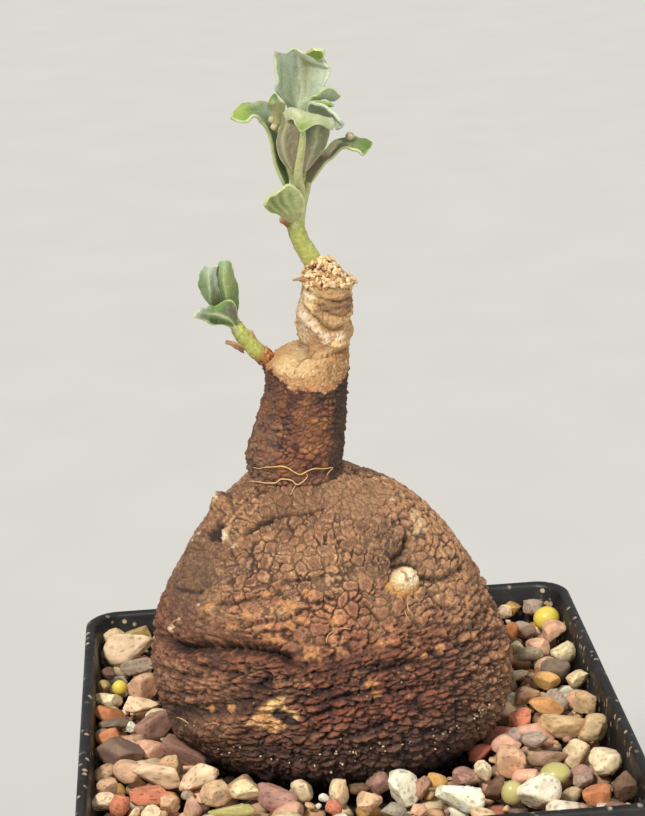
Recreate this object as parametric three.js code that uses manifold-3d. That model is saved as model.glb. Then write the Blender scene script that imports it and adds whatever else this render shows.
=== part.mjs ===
// Potted Pterodiscus speciosus: a squat, bark-plated caudex with a short neck, a cut stub and two
// leafy shoots. It sits on mixed gravel in a square nursery pot.
// Millimetres, +Z up. The origin is the middle of the pot's base; the pot's sides face X and Y.
import * as THREE from 'three';
import { mergeVertices } from 'three/addons/utils/BufferGeometryUtils.js';
import Module from 'manifold-3d';

const wasm = await Module();
wasm.setup();

// Driving dimensions of the pot
const POT_HEIGHT = 110;
const POT_TOP_WIDTH = 110;
const POT_BASE_WIDTH = 86;
const POT_WALL = 1.2;
const POT_FLOOR = 1.8;
const BAND_HEIGHT = 9; // the thicker band below the rim
const BAND_STEP = 0.8; // how far the band stands out of the wall
const RIM_WIDTH = 2.2;
const CORNER_RADIUS = 7;
const CORNER_STEPS = 4;
const DRAIN_RADIUS = 4;
const DRAIN_OFFSET = 27;

// Driving dimensions of what fills the pot
const GAP = 0.35; // clearance between pieces that touch
const SOIL_TOP = 96;
const BED_TOP = 103.5; // the gravel's level in the chinks between its topmost stones
const STONE_RISE = 0.78; // how far a stone stands out of that, as a share of its height
const DOME_SHARE = 0.72; // how far a stone's shoulder is from its middle, as a share of its foot
const STONE_MARGIN = 53; // the stones stay this close to the pot's middle
const FILLER_PITCH = 7;
const FILLER_SEED = 20231;
const CROWDING = 0.33; // a filler keeps this share of the stones' sizes from a listed stone

// Driving dimensions of the plant
const CAUDEX_SIDES = 50;
const BODY_START = 6; // rings from here to BODY_END get a row of points between them
const BODY_END = 19;
const STEM_SIDES = 9;
const STEM_STEPS = 9;
const STALK_SIDES = 6;
const STALK_STEPS = 3;
const STALK_RADIUS = [1, 0.6]; // at the stem and at the blade
const SCALE_RADIUS = 0.6;
const BLADE_THICKNESS = 0.7;
const MAIN_BLADE_ROWS = 7;
const SIDE_BLADE_ROWS = 6;
const CURL_ROWS = 3; // of a lobe without a stalk

// Rings of the caudex from the taproot's tip to the top of the cut stub:
// height, middle x, middle y, radius along x, radius along y
const RINGS = [
  [64, -2, 5, 0, 0], [65, -2, 5, 3, 3], [74, -2, 5, 5, 5], [83, -2, 5, 8, 8],
  [90, -2, 5, 12, 12], [94, -2, 4.5, 17, 17], [98, -1.8, 4.2, 22.5, 22], [102, -1.7, 4, 28, 27.5],
  [105.5, -1.6, 4, 32, 31.5], [109, -1.7, 4, 34.8, 34], [113, -1.9, 4, 36.2, 35.2],
  [119, -2.6, 4, 36.4, 35.4], [125, -3.2, 4.2, 35.3, 34.8], [130.5, -3.6, 4.6, 33.4, 33.5],
  [136, -3.7, 5, 30.8, 31.4], [141, -3.7, 5.2, 27.8, 29], [146, -3.8, 5.4, 24.3, 26],
  [150, -4.1, 5.6, 20.8, 23], [153.4, -5, 5.6, 16.4, 18.4], [156.4, -6.3, 5, 12.2, 13.6],
  [158.6, -7.6, 4.2, 9.9, 10.2], [161, -8, 3.8, 9.3, 9.2], [164, -7.9, 3.6, 9.5, 9.3],
  [169, -6.7, 3.4, 8.9, 8.8], [173.5, -5.7, 3.2, 8.3, 8.3], [177, -5.1, 3, 7.9, 8],
  [180.5, -4.8, 3, 8, 7.9], [182.5, -4.9, 3, 8.3, 7.6], [184.5, -3.4, 3, 7.2, 6.6],
  [186, -1.4, 3, 5.3, 5.4], [188, -0.9, 3, 5.3, 5.2], [191, -0.7, 3, 5.5, 5.4],
  [194, -0.5, 2.9, 5.3, 5.2], [197, -0.1, 2.8, 4.9, 4.8], [199.6, 0, 2.7, 4.6, 4.6],
  [201, 0, 2.6, 3.9, 3.9], [202, 0, 2.5, 2.2, 2.2], [202.4, 0, 2.5, 0, 0],
];

// Knobs and pits of the caudex: degrees round it from +X, height, reach and how far it stands out
const KNOBS = [
  [302, 142.8, 3, 1.5], // callus
  [188, 152, 3.4, 2.2], [184, 146, 4.5, 1.4], // knobs of the left shoulder
  [204, 149, 3, -1.5], [229, 153, 2, -1.2], [196, 144.5, 2.4, -1], // its cavity and hollows
  [317, 148, 2.4, -0.9], [337, 149.5, 3, 0.8], // crevice and scar of the right shoulder
  [346, 143, 4, 0.8], [350, 135, 4, -0.9], [340, 122, 5.5, 1], // right flank
  [191, 129, 2, -1.1], // pit at the crease's end
  [30, 128, 8, 1.2], [75, 140, 7, 1.1], [120, 124, 9, 1.3], [150, 137, 5, -1], [60, 112, 7, 1],
  [95, 152, 4, 1.2], // unseen back
];

// Folds of its skin: degrees and height along each, then its reach and how far it stands out
const FOLDS = [
  [[[198, 129], [225, 131.5], [248, 132]], 2, -2.2], // the deep crease
  [[[206, 133.5], [235, 136.5], [262, 140]], 3, 1.1], // the ridge above it
  [[[200, 114], [216, 118], [231, 121], [246, 127.5]], 2.4, -1.2], // valley of the low fold
  [[[202, 110.5], [216, 114], [231, 117], [246, 124], [252, 126]], 2.6, 1.4], // the low fold
  [[[20, 118], [48, 121], [78, 119]], 2.6, -1.2], [[[100, 132], [128, 135], [150, 131]], 2.4, -1.3],
];

// Stems as points from the root of each outwards, with the radius at its two ends
const MAIN_STEM = {
  points: [
    [-1, 3, 199], [-2, 3, 201.5], [-3.8, 2.4, 205], [-5.1, 1.6, 208], [-5.6, 1, 211], [-5, 1, 214],
    [-4.5, 1.5, 217], [-4.4, 2, 219],
  ],
  radius: [1.9, 1.2],
};
const SIDE_STEM = {
  points: [
    [-9.5, 3.4, 180.8], [-11, 3.2, 182], [-13.8, 2.6, 184.6], [-16.2, 1.8, 187.6],
    [-17.6, 1.2, 189.8], [-18.2, 1.4, 191.4],
  ],
  radius: [1.8, 1.2],
};

// Leaves: the stalk's points, then rows of points from the stalk to the tip, each across the blade
const MAIN_LEAVES = [
  { // tall leaf at the back, notched at its tip
    stalk: [[-4.5, 2, 216.5], [-4.5, 4.5, 222], [-4, 6.5, 228]],
    net: [
      [[-5, 6, 228], [-4.5, 6.5, 228], [-4, 7, 228], [-3.5, 6.5, 228], [-3, 6, 228]],
      [[-6, 5, 233], [-5, 5.5, 232.5], [-4, 6, 232], [-3, 5.5, 232.5], [-2, 5, 233]],
      [[-8, 1, 236.5], [-6, 4.5, 235], [-3.5, 6.5, 234], [-1.5, 5, 234.5], [0, 3, 234.5]],
      [[-8, 0.5, 239], [-6, 5, 238], [-3.5, 7, 237], [-1, 5.5, 237.5], [1.5, 2, 237.5]],
      [[-8, 0.5, 241.5], [-6, 5, 240.5], [-3.5, 7, 239.5], [-0.5, 5.5, 240], [2.5, 2, 240]],
      [[-8, 0.5, 243], [-6, 4, 242.5], [-3.5, 6.5, 242], [-1.5, 5, 241.5], [2, 2, 241]],
      [[-8, 0, 244.5], [-6.5, 3, 243.5], [-4, 5.5, 244], [-2, 5, 243], [-0.5, 3, 244.5]],
    ],
  },
  { // the tall leaf's right lobe, curled forwards
    stalk: [],
    net: [
      [[-2, 5, 243], [-0.5, 3.8, 242.4], [0.3, 3.5, 241.3]],
      [[-1, 2, 244], [0.5, 1.5, 243], [1, 2, 242]],
      [[-0.5, 1, 244.5], [1, 0, 244], [1.5, 0.5, 243]],
    ],
  },
  { // leaf that bends out to the left
    stalk: [[-5.5, 1.2, 212.5], [-6.5, 1.2, 215.5], [-7, 1, 218.5]],
    net: [
      [[-7.5, 0, 218.5], [-7, 1, 218], [-6.5, 2, 218]],
      [[-9, -0.5, 222.5], [-8, 1.5, 222], [-6.5, 3, 221.5]],
      [[-9.5, -1, 226], [-8.5, 2, 225.5], [-7, 4, 225]],
      [[-10, -1.5, 229], [-9, 2, 228.5], [-7.5, 4.5, 228.5]],
      [[-11, -2.5, 231], [-10, 1.5, 231.5], [-9, 4, 232]],
      [[-12.5, -4, 233], [-12, 0.5, 233], [-10, 3, 234.5]],
      [[-15, -5, 232], [-14, -1.5, 234], [-12.5, 1.5, 234.5]],
      [[-17, -5.5, 233.5], [-16.5, -2, 233.5], [-15, 0, 235]],
    ],
  },
  { // leaf in front with a thick midrib, its tip folded outwards and down
    stalk: [
      [-4, 1, 212.5], [-4.5, -2, 217.5], [-5, -5, 221.5], [-4.5, -7, 225.5], [-4, -8.5, 229],
      [-4, -9, 231],
    ],
    net: [
      [[-6, -4, 222], [-5.5, -5, 222], [-4.5, -5, 222], [-4, -5, 222], [-3.5, -4, 222]],
      [[-8, -3.5, 224.5], [-6.5, -5.5, 225], [-5, -6.5, 225], [-3, -5.5, 225], [-1, -3.5, 224.5]],
      [[-8.5, -3, 227.5], [-7, -6, 228.5], [-4.5, -7.5, 228.5], [-2, -6, 228], [1, -3, 227]],
      [[-7.5, -3.5, 231], [-6, -6.5, 232], [-4, -8.5, 232], [-1.5, -7, 231], [1.5, -3.5, 229.5]],
      [[-7, -4, 233], [-6, -7, 234.5], [-3.5, -8.5, 234], [-1, -7.5, 233], [2, -4, 231.5]],
      [[-7, -6.5, 233], [-5.5, -9.5, 234.5], [-4, -11, 233.5], [-1.5, -10, 233], [2, -6, 231]],
      [[-6.5, -7, 232.5], [-5.5, -10, 233], [-4.5, -11.5, 231], [-1.5, -10.5, 232],
        [2, -6.5, 230]],
    ],
  },
  { // fan-shaped leaf low on the left
    stalk: [[-5.5, 1, 209.5], [-6, 0, 211.5], [-6.4, -0.4, 213]],
    net: [
      [[-7.5, 0, 213], [-7, -0.5, 213], [-6.5, -0.5, 213.5], [-6, -0.5, 213.5], [-5.5, 0, 213.5]],
      [[-9, -2, 214.5], [-8.5, -2.5, 215.5], [-7.5, -2.5, 216], [-6.5, -2, 216],
        [-5.5, -1, 215.5]],
      [[-11, -4, 215], [-10, -4.5, 216.5], [-9, -4.5, 217.5], [-7, -3.5, 218], [-5, -2, 217]],
      [[-12, -6, 216.5], [-11, -6.5, 218], [-9, -6, 219], [-7, -5, 220], [-6, -3, 219]],
    ],
  },
  { // leaf that arches out to the right
    stalk: [[-4.8, 1, 212.5], [-3.6, 1, 216], [-2.6, 0.6, 219]],
    net: [
      [[-3.5, 1, 218], [-2.5, 0.5, 218.5], [-2, 0, 219]],
      [[-2.5, 1.5, 220.5], [-2, 0, 221], [-1, -1, 220.5]],
      [[-1, 2, 222.5], [-0.5, 0, 223], [0.5, -1.5, 222.5]],
      [[1, 2.5, 224.5], [1.5, 0, 224.5], [2.5, -1.5, 224]],
      [[3, 3, 226], [3.5, 0.5, 226], [4.5, -2, 225.5]],
      [[6, 3, 226.5], [6.5, 0, 226], [6.5, -2.5, 225]],
      [[8.5, 2.5, 226], [8.5, 0, 225.5], [7.5, -2.5, 224]],
      [[10, 1.5, 225.5], [9.5, 0, 225], [8.5, -1.5, 224.5]],
    ],
  },
  { // frilled leaf at the back right, its upper fold
    stalk: [[-4.4, 2, 217], [-3, 4, 223], [-1.6, 4.6, 228]],
    net: [
      [[-2, 4, 228], [-1.5, 4.5, 228], [-1, 5, 228]],
      [[-2.5, 4, 232.5], [-1.5, 4.5, 232.5], [-1, 5, 232.5]],
      [[-1.5, 2, 234.5], [0, 4, 234], [1.5, 5.5, 234]],
      [[-0.5, 0.5, 235.5], [1.5, 3, 235], [3.5, 5, 233.5]],
      [[0, 0, 236.5], [2.5, 2.5, 236.5], [4.5, 4.5, 234.5]],
    ],
  },
  { // its lower fold
    stalk: [[-4.4, 2, 218], [-3.4, 2.4, 224], [-2.2, 2.6, 229]],
    net: [
      [[-2.5, 2, 228.5], [-2, 2.5, 228.5], [-1.5, 3, 228.5]],
      [[-3, 2, 232], [-2, 2.5, 232], [-1, 3, 232]],
      [[-2, 0.5, 234], [0, 2, 233.5], [1.5, 3, 232.5]],
      [[-1, -0.5, 234.5], [1, 1, 234], [3, 2.5, 233]],
    ],
  },
  { // silver leaf that hangs over to the right
    stalk: [[-4.4, 1.6, 216], [-3.2, 1.6, 222], [-2, 0.8, 228.5]],
    net: [
      [[-2.5, 0, 228.5], [-2, 1, 228.5], [-1.5, 1.5, 228.5]],
      [[-2.5, 0, 232.5], [-2, 1, 231.5], [-1.5, 2, 231]],
      [[-2, -1.5, 234.5], [-0.5, 0, 233], [0.5, 1, 231]],
      [[0.5, -3, 234], [1.5, -1, 232.5], [1.5, 0.5, 230.5]],
      [[2.5, -4, 232.5], [3, -2.5, 231.5], [2.5, -1, 229.5]],
      [[3.5, -4.5, 231.5], [4, -3.5, 230], [3, -2, 229]],
    ],
  },
  { // young leaf on the left
    stalk: [[-5, 1.2, 218], [-6.8, 0.4, 225], [-8, -1.5, 231.5]],
    net: [
      [[-8.5, -1, 230.5], [-8, -1.5, 230.5], [-7.5, -1, 230.5]],
      [[-9.5, -2, 234.5], [-8.5, -3, 234], [-6.5, -1.5, 234.5]],
      [[-10, -3.5, 235.5], [-9, -4.5, 235.5], [-7.5, -3, 235.5]],
      [[-9, -3.5, 236.5], [-8.5, -2.5, 237], [-8, -3, 236.5]],
    ],
  },
  { // leaf in the crown's shade
    stalk: [[-4.8, 1.4, 214], [-3.6, 2.4, 217.5], [-3, 3, 219]],
    net: [
      [[-3.8, 2.6, 218], [-3, 3.2, 218], [-2.2, 3, 218]],
      [[-3.5, 3.4, 221], [-2.5, 4.4, 220.5], [-1, 3.8, 221]],
      [[-3, 4, 225], [-1.5, 5.5, 225], [0.5, 4, 225.5]],
      [[-2, 4.2, 228.5], [-0.5, 6, 229], [1, 4, 229]],
    ],
  },
];
const SIDE_LEAVES = [
  { // leaf in front, arching out to the left
    stalk: [[-17.2, 0.8, 189], [-18.2, 0.4, 190.4], [-19.4, -0.6, 192]],
    net: [
      [[-19, -0.5, 191], [-18.5, 0, 191.5], [-18, 0.5, 192]],
      [[-21, -2.5, 192.5], [-19.5, -1.5, 193.5], [-18, 0, 195]],
      [[-23, -4, 193], [-21.5, -3, 195], [-19, -1, 197]],
      [[-24, -5, 194], [-23, -4, 195.5], [-21.5, -2, 196.5]],
      [[-25.5, -6, 195], [-25, -6, 196.5], [-23.5, -4, 196.5]],
      [[-26.5, -6.5, 195.5], [-26, -6.5, 196.5], [-25, -6, 197]],
    ],
  },
  { // cupped leaf on the left
    stalk: [[-17.6, 1.2, 190], [-19.4, 1.4, 192.5], [-22, 1.2, 195.6]],
    net: [
      [[-22.5, 1.5, 195], [-22, 1, 195], [-21, 1.5, 195]],
      [[-24.5, 2, 198], [-23, -0.5, 197], [-21, 1.5, 197]],
      [[-25, 2, 200], [-23, -1, 199], [-21.5, 1.5, 199]],
      [[-24.5, 2, 202], [-23, -0.5, 201.5], [-21.5, 1.5, 201]],
      [[-23.5, 2, 203.5], [-22.5, 1, 203.5], [-21, 1.5, 203.5]],
    ],
  },
  { // cupped leaf on the right
    stalk: [[-17.4, 1.6, 189.6], [-18, 2, 191], [-18.9, 2, 193.2]],
    net: [
      [[-19.5, 2.5, 192.5], [-19, 2, 192.5], [-18, 2.5, 192.5]],
      [[-21, 3, 196], [-19, 0.5, 195], [-17.5, 3, 195.5]],
      [[-21.5, 3, 198.5], [-19.5, 0, 198], [-17.5, 3, 198]],
      [[-21.5, 3, 201], [-20, 0.5, 201], [-18, 3, 201]],
      [[-20.5, 2.5, 204], [-19.5, 2, 204.5], [-18.5, 2.5, 203.5]],
    ],
  },
  { // leaf at the back
    stalk: [[-17.6, 1.8, 190], [-18.4, 3, 192], [-19, 4.2, 194]],
    net: [
      [[-19, 2.8, 192.5], [-18.4, 3.4, 192.5], [-17.8, 3, 192.5]],
      [[-21, 3.5, 195], [-19.5, 4.5, 194.5], [-18, 4, 194.5]],
      [[-21.5, 4.5, 197.5], [-20, 6, 197], [-18.5, 4.5, 197]],
      [[-21.5, 4, 200], [-20.5, 5.5, 200.5], [-19, 4, 200]],
    ],
  },
];

// Dry scales of the stems: root, middle and tip
const MAIN_SCALES = [[[-6, 0.8, 210.2], [-8.3, -0.3, 211.4], [-9.4, -1.3, 212.6]]];
const SIDE_SCALES = [
  [[-16.4, 1.2, 186.2], [-18.7, 0.3, 187.5], [-20.3, -0.1, 188.2]],
  [[-14.6, 2.4, 186.4], [-15.1, 2.4, 187.9], [-15.4, 2.5, 188.8]],
];

// The stones that the front and the sides show, by place: x, y, length, height
const STONES = [
  // left strip, from the back to the front
  [-50, 52.5, 6.8, 3.6], [-43.5, 52, 7, 4], [-46, 43.5, 13, 7.5],
  [-43.5, 34, 8.5, 4], [-50, 31, 3.5, 2.8], [-47.5, 23.5, 3.2, 3.2],
  [-51, 24.5, 3, 3], [-42.5, 24, 7.5, 6.5], [-50, 18, 6.5, 3.8],
  [-43, 14.5, 8.5, 4], [-49, 10, 8, 5], [-48.5, 5.5, 7.5, 2.6], [-40, 4, 9, 6],
  [-45, 4, 2.2, 2.2], [-49, -0.5, 6.5, 4], [-47.5, -8, 10.5, 7.5],
  [-41, -6.5, 6.5, 4.8], [-34.5, -9, 10.5, 4.5], [-45, -16.5, 5, 7],
  [-39.5, -17.5, 10.5, 5.5], [-36.5, -15, 5.5, 5.5], [-31.5, -21.5, 9.5, 5],
  // front left corner
  [-49.5, -22.5, 4.6, 4.6], [-41, -26.5, 8.5, 4.6], [-50.5, -28, 3.8, 5.5],
  [-47, -30, 4.2, 4.8], [-37.5, -31, 4.5, 4], [-41, -34, 4, 2.8],
  [-33, -32.5, 3.6, 4.5], [-28, -28, 7, 5], [-22, -28.5, 7.5, 4.6],
  [-16.5, -31.5, 9, 5.5], [-24.5, -35.5, 11.5, 3],
  // front strip
  [-11.5, -29, 4.4, 5.2], [-4.5, -31.5, 4, 6.5], [-1, -30.5, 2.4, 4.8],
  [3, -29, 5, 5.4], [7.5, -32, 7.5, 7.2], [11.5, -32, 4, 5], [14.5, -30, 4.8, 3.2],
  [18.5, -37, 10, 6], [20, -28.5, 5, 3], [24, -27.5, 3.8, 4.4],
  [25.5, -35, 4.8, 5.4], [0.5, -36.5, 5.8, 4.2], [5, -40.5, 5.2, 3.2],
  [10, -41, 3.4, 3], [-6, -37.5, 3.4, 3.4], [28.5, -37, 4.4, 4.8],
  // front right corner
  [33.5, -38, 9.5, 7], [38, -30.5, 6, 3.8], [33, -32, 2.5, 3],
  [30, -24, 7.5, 6], [30.5, -17, 6.5, 4], [35, -6, 4.5, 5.5],
  [37, -15.5, 6.5, 3.6], [37.5, -23.5, 8.5, 4], [43, -10.5, 11, 5],
  [49, -12.5, 7.5, 5.5], [43.5, -23, 5.5, 6], [48.5, -26.5, 7, 6],
  [42.5, -34, 3.8, 4.6], [44.5, -40, 6, 4.6], [50, -38.5, 5.4, 6.4],
  // right strip, from the front to the back
  [41, -1.5, 8.5, 3.8], [38.5, 4.5, 6.5, 4], [44, 1.5, 5.5, 5],
  [49.5, -1, 5.4, 5], [43.5, 11, 6.5, 3.8], [46, 17, 8, 5],
  [50, 11, 3.2, 5.2], [49.5, 25, 5.6, 4.6], [44.5, 28.5, 6, 4],
  [42, 25, 6.4, 3.2], [49, 36, 6.6, 4.8], [49, 43.5, 6, 5.2],
  [47, 49.5, 5.6, 5.6], [44, 37.5, 4, 3.4], [40, 38, 4, 4], [40.5, 49, 3.4, 4],
  [42, 51.5, 5, 3.4], [51, 51, 2.4, 3.4], [38, 15.5, 2.2, 4], [40, 29.5, 3.2, 3],
];

// Materials, as the photo shows them
const potPlastic = new THREE.MeshStandardMaterial({ color: 0x17181a, roughness: 0.5, metalness: 0 });
const soilMix = new THREE.MeshStandardMaterial({ color: 0x3a2b20, roughness: 1, metalness: 0 });
const gravelStone = new THREE.MeshStandardMaterial({ color: 0xb59c85, roughness: 0.9, metalness: 0 });
const bark = new THREE.MeshStandardMaterial({ color: 0x5c4238, roughness: 0.9, metalness: 0 });
const greenStem = new THREE.MeshStandardMaterial({ color: 0x9fae7d, roughness: 0.7, metalness: 0 });

// Seeded draws from 0 to 1
function makeRandom(seed) {
  const modulus = 2147483647;
  let state = seed;
  return () => {
    state = (state * 48271) % modulus;
    return state / modulus;
  };
}

// Cubic through p1 and p2, for t from 0 to 1
function cubic(p0, p1, p2, p3, t) {
  return p1.map((b, k) => {
    const a = p0[k];
    const c = p2[k];
    const d = p3[k];
    const second = (2 * a - 5 * b + 4 * c - d) * t * t;
    const third = (3 * b - a - 3 * c + d) * t * t * t;
    return 0.5 * (2 * b + (c - a) * t + second + third);
  });
}

// The smooth curve through the points, at s from 0 to their count less one
function along(points, s) {
  const last = points.length - 1;
  const i = Math.min(Math.floor(Math.max(s, 0)), last - 1);
  const before = points[i - 1] ?? points[0].map((v, k) => 2 * v - points[1][k]);
  const after = points[i + 2] ?? points[last].map((v, k) => 2 * v - points[last - 1][k]);
  return cubic(before, points[i], points[i + 1], after, s - i);
}

function solidOf(geometry) {
  const bare = geometry.clone();
  bare.deleteAttribute('normal');
  bare.deleteAttribute('uv');
  const merged = mergeVertices(bare);
  return new wasm.Manifold(new wasm.Mesh({
    numProp: 3,
    vertProperties: new Float32Array(merged.attributes.position.array),
    triVerts: new Uint32Array(merged.index.array),
  }));
}

function geometryOf(solid) {
  const mesh = solid.getMesh();
  const geometry = new THREE.BufferGeometry();
  geometry.setAttribute('position', new THREE.BufferAttribute(mesh.vertProperties, 3));
  geometry.setIndex(new THREE.BufferAttribute(mesh.triVerts, 1));
  return geometry;
}

// The biggest body of a solid, without the scraps that a cut leaves
function biggest(solid) {
  const bodies = solid.decompose();
  return bodies.reduce((best, body) => (body.volume() > best.volume() ? body : best));
}

function union(solids) {
  return solids.reduce((sum, solid) => sum.add(solid));
}

// A closed skin over rings of points, counter-clockwise seen from where the rings go to
function loft(rings) {
  const count = rings[0].length;
  const middleOf = (ring) => [0, 1, 2].map((k) => ring.reduce((sum, p) => sum + p[k], 0) / count);
  const positions = [...rings.flat(), middleOf(rings[0]), middleOf(rings.at(-1))].flat();
  const start = rings.length * count;
  const end = start + 1;
  const top = (rings.length - 1) * count;
  const index = [];
  for (let i = 0; i < count; i += 1) {
    const j = (i + 1) % count;
    index.push(start, j, i, end, top + i, top + j);
    for (let row = 0; row < top; row += count) {
      index.push(row + i, row + j, row + count + j);
      index.push(row + i, row + count + j, row + count + i);
    }
  }
  const geometry = new THREE.BufferGeometry();
  geometry.setAttribute('position', new THREE.Float32BufferAttribute(positions, 3));
  geometry.setIndex(index);
  return geometry;
}

// A square with round corners, at a height
function roundedSquare(halfWidth, radius, z) {
  const ring = [];
  for (let corner = 0; corner < 4; corner += 1) {
    const middle = (corner + 0.5) * (Math.PI / 2);
    const reach = (halfWidth - radius) * Math.SQRT2;
    for (let step = 0; step <= CORNER_STEPS; step += 1) {
      const angle = (corner + step / CORNER_STEPS) * (Math.PI / 2);
      ring.push([
        reach * Math.cos(middle) + radius * Math.cos(angle),
        reach * Math.sin(middle) + radius * Math.sin(angle),
        z,
      ]);
    }
  }
  return ring;
}

// Half the width of the pot's outside and inside, at a height
function outerHalf(z) {
  const bandFoot = POT_TOP_WIDTH / 2 - BAND_STEP;
  return POT_BASE_WIDTH / 2 + (bandFoot - POT_BASE_WIDTH / 2) * (z / POT_HEIGHT);
}
function innerHalf(z) {
  const top = POT_TOP_WIDTH / 2 - RIM_WIDTH;
  const floor = POT_BASE_WIDTH / 2 - POT_WALL;
  return floor + (top - floor) * (z / POT_HEIGHT);
}

function makePot() {
  const bandFoot = POT_HEIGHT - BAND_HEIGHT;
  const rim = POT_TOP_WIDTH / 2;
  const rounding = 0.5;
  const inside = CORNER_RADIUS - POT_WALL;
  const shell = solidOf(loft([
    roundedSquare(outerHalf(0) - rounding, CORNER_RADIUS, 0),
    roundedSquare(outerHalf(0), CORNER_RADIUS, rounding * 2),
    roundedSquare(outerHalf(bandFoot), CORNER_RADIUS, bandFoot),
    roundedSquare(outerHalf(bandFoot) + BAND_STEP, CORNER_RADIUS, bandFoot + BAND_STEP),
    roundedSquare(rim, CORNER_RADIUS, POT_HEIGHT - rounding),
    roundedSquare(rim - rounding, CORNER_RADIUS, POT_HEIGHT),
    roundedSquare(rim - RIM_WIDTH + rounding, inside, POT_HEIGHT),
    roundedSquare(innerHalf(POT_HEIGHT), inside, POT_HEIGHT - rounding),
    roundedSquare(innerHalf(POT_FLOOR), inside, POT_FLOOR),
  ]));
  const drains = [];
  for (const x of [-DRAIN_OFFSET, DRAIN_OFFSET]) {
    for (const y of [-DRAIN_OFFSET, DRAIN_OFFSET]) {
      const hole = new THREE.CylinderGeometry(DRAIN_RADIUS, DRAIN_RADIUS, POT_FLOOR * 4, 12);
      hole.rotateX(Math.PI / 2);
      hole.translate(x, y, 0);
      drains.push(solidOf(hole));
    }
  }
  return shell.subtract(union(drains));
}

// What fits inside the pot between two heights, clear of its wall
function potFilling(from, to) {
  const corner = CORNER_RADIUS - POT_WALL;
  return solidOf(loft([
    roundedSquare(innerHalf(from) - GAP, corner, from),
    roundedSquare(innerHalf(to) - GAP, corner, to),
  ]));
}

// The caudex's skin without its knobs and folds, at an angle and a place s along RINGS
function smoothSkin(angle, s) {
  const [z, x, y, radiusX, radiusY] = along(RINGS, s);
  return new THREE.Vector3(
    x + Math.max(radiusX, 0) * Math.cos(angle),
    y + Math.max(radiusY, 0) * Math.sin(angle),
    z,
  );
}

function skinNormal(angle, s) {
  const step = 0.02;
  const round = smoothSkin(angle + step, s).sub(smoothSkin(angle - step, s));
  const up = smoothSkin(angle, s + step).sub(smoothSkin(angle, s - step));
  return round.cross(up).normalize();
}

// The place s along RINGS of a height
function placeOfHeight(z) {
  const i = RINGS.findIndex((ring) => ring[0] > z) - 1;
  return i + (z - RINGS[i][0]) / (RINGS[i + 1][0] - RINGS[i][0]);
}

function onSkin([degrees, z]) {
  return smoothSkin(THREE.MathUtils.degToRad(degrees), placeOfHeight(z));
}

// Points along a fold, close enough to each other to measure to
function foldPoints(route) {
  const steps = 24;
  return Array.from({ length: steps + 1 }, (_, k) => {
    return onSkin(along(route, (k / steps) * (route.length - 1)));
  });
}

const knobPlaces = KNOBS.map(([degrees, z, reach, height]) => {
  return { points: [onSkin([degrees, z])], reach, height };
});
const foldPlaces = FOLDS.map(([route, reach, height]) => {
  return { points: foldPoints(route), reach, height };
});
const relief = [...knobPlaces, ...foldPlaces];

// How far the skin stands out of its smooth form
function skinRelief(point) {
  return relief.reduce((sum, { points, reach, height }) => {
    const distance = Math.min(...points.map((p) => p.distanceTo(point)));
    return sum + height * Math.exp(-((distance / reach) ** 2));
  }, 0);
}

// The caudex, grown outwards by a clearance
function makeCaudexForm(clearance) {
  const places = [];
  const last = RINGS.length - 1;
  for (let s = 1; s < last; s += s >= BODY_START && s < BODY_END ? 0.5 : 1) {
    places.push(s);
  }
  const rings = places.map((s) => Array.from({ length: CAUDEX_SIDES }, (_, k) => {
    const angle = (k / CAUDEX_SIDES) * Math.PI * 2;
    const point = smoothSkin(angle, s);
    const out = skinRelief(point) + clearance;
    return point.addScaledVector(skinNormal(angle, s), out).toArray();
  }));
  return solidOf(loft(rings));
}

// A closed tube along points with flat ends, its first one set back by an overrun
function tube(points, radiusAt, sides, steps, overrun = 0) {
  const last = points.length - 1;
  const axis = new THREE.Vector3(0, 1, 0);
  const rings = [];
  for (let k = 0; k <= steps; k += 1) {
    const s = (k / steps) * last;
    const here = new THREE.Vector3(...along(points, s));
    const ahead = new THREE.Vector3(...along(points, Math.min(s + 0.05, last)));
    const behind = new THREE.Vector3(...along(points, Math.max(s - 0.05, 0)));
    const forward = ahead.sub(behind).normalize();
    const side = new THREE.Vector3().crossVectors(axis, forward).normalize();
    const up = new THREE.Vector3().crossVectors(forward, side);
    const end = k === 0 ? -overrun : 0;
    here.addScaledVector(forward, end);
    rings.push(Array.from({ length: sides }, (_, j) => {
      const angle = (j / sides) * Math.PI * 2;
      const radius = radiusAt(k / steps);
      return here.clone()
        .addScaledVector(side, radius * Math.cos(angle))
        .addScaledVector(up, radius * Math.sin(angle))
        .toArray();
    }));
  }
  return solidOf(loft(rings));
}

function stem({ points, radius: [root, tip] }, clearance = 0) {
  const radiusAt = (t) => root + (tip - root) * t + clearance;
  return tube(points, radiusAt, STEM_SIDES, STEM_STEPS, clearance);
}

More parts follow.
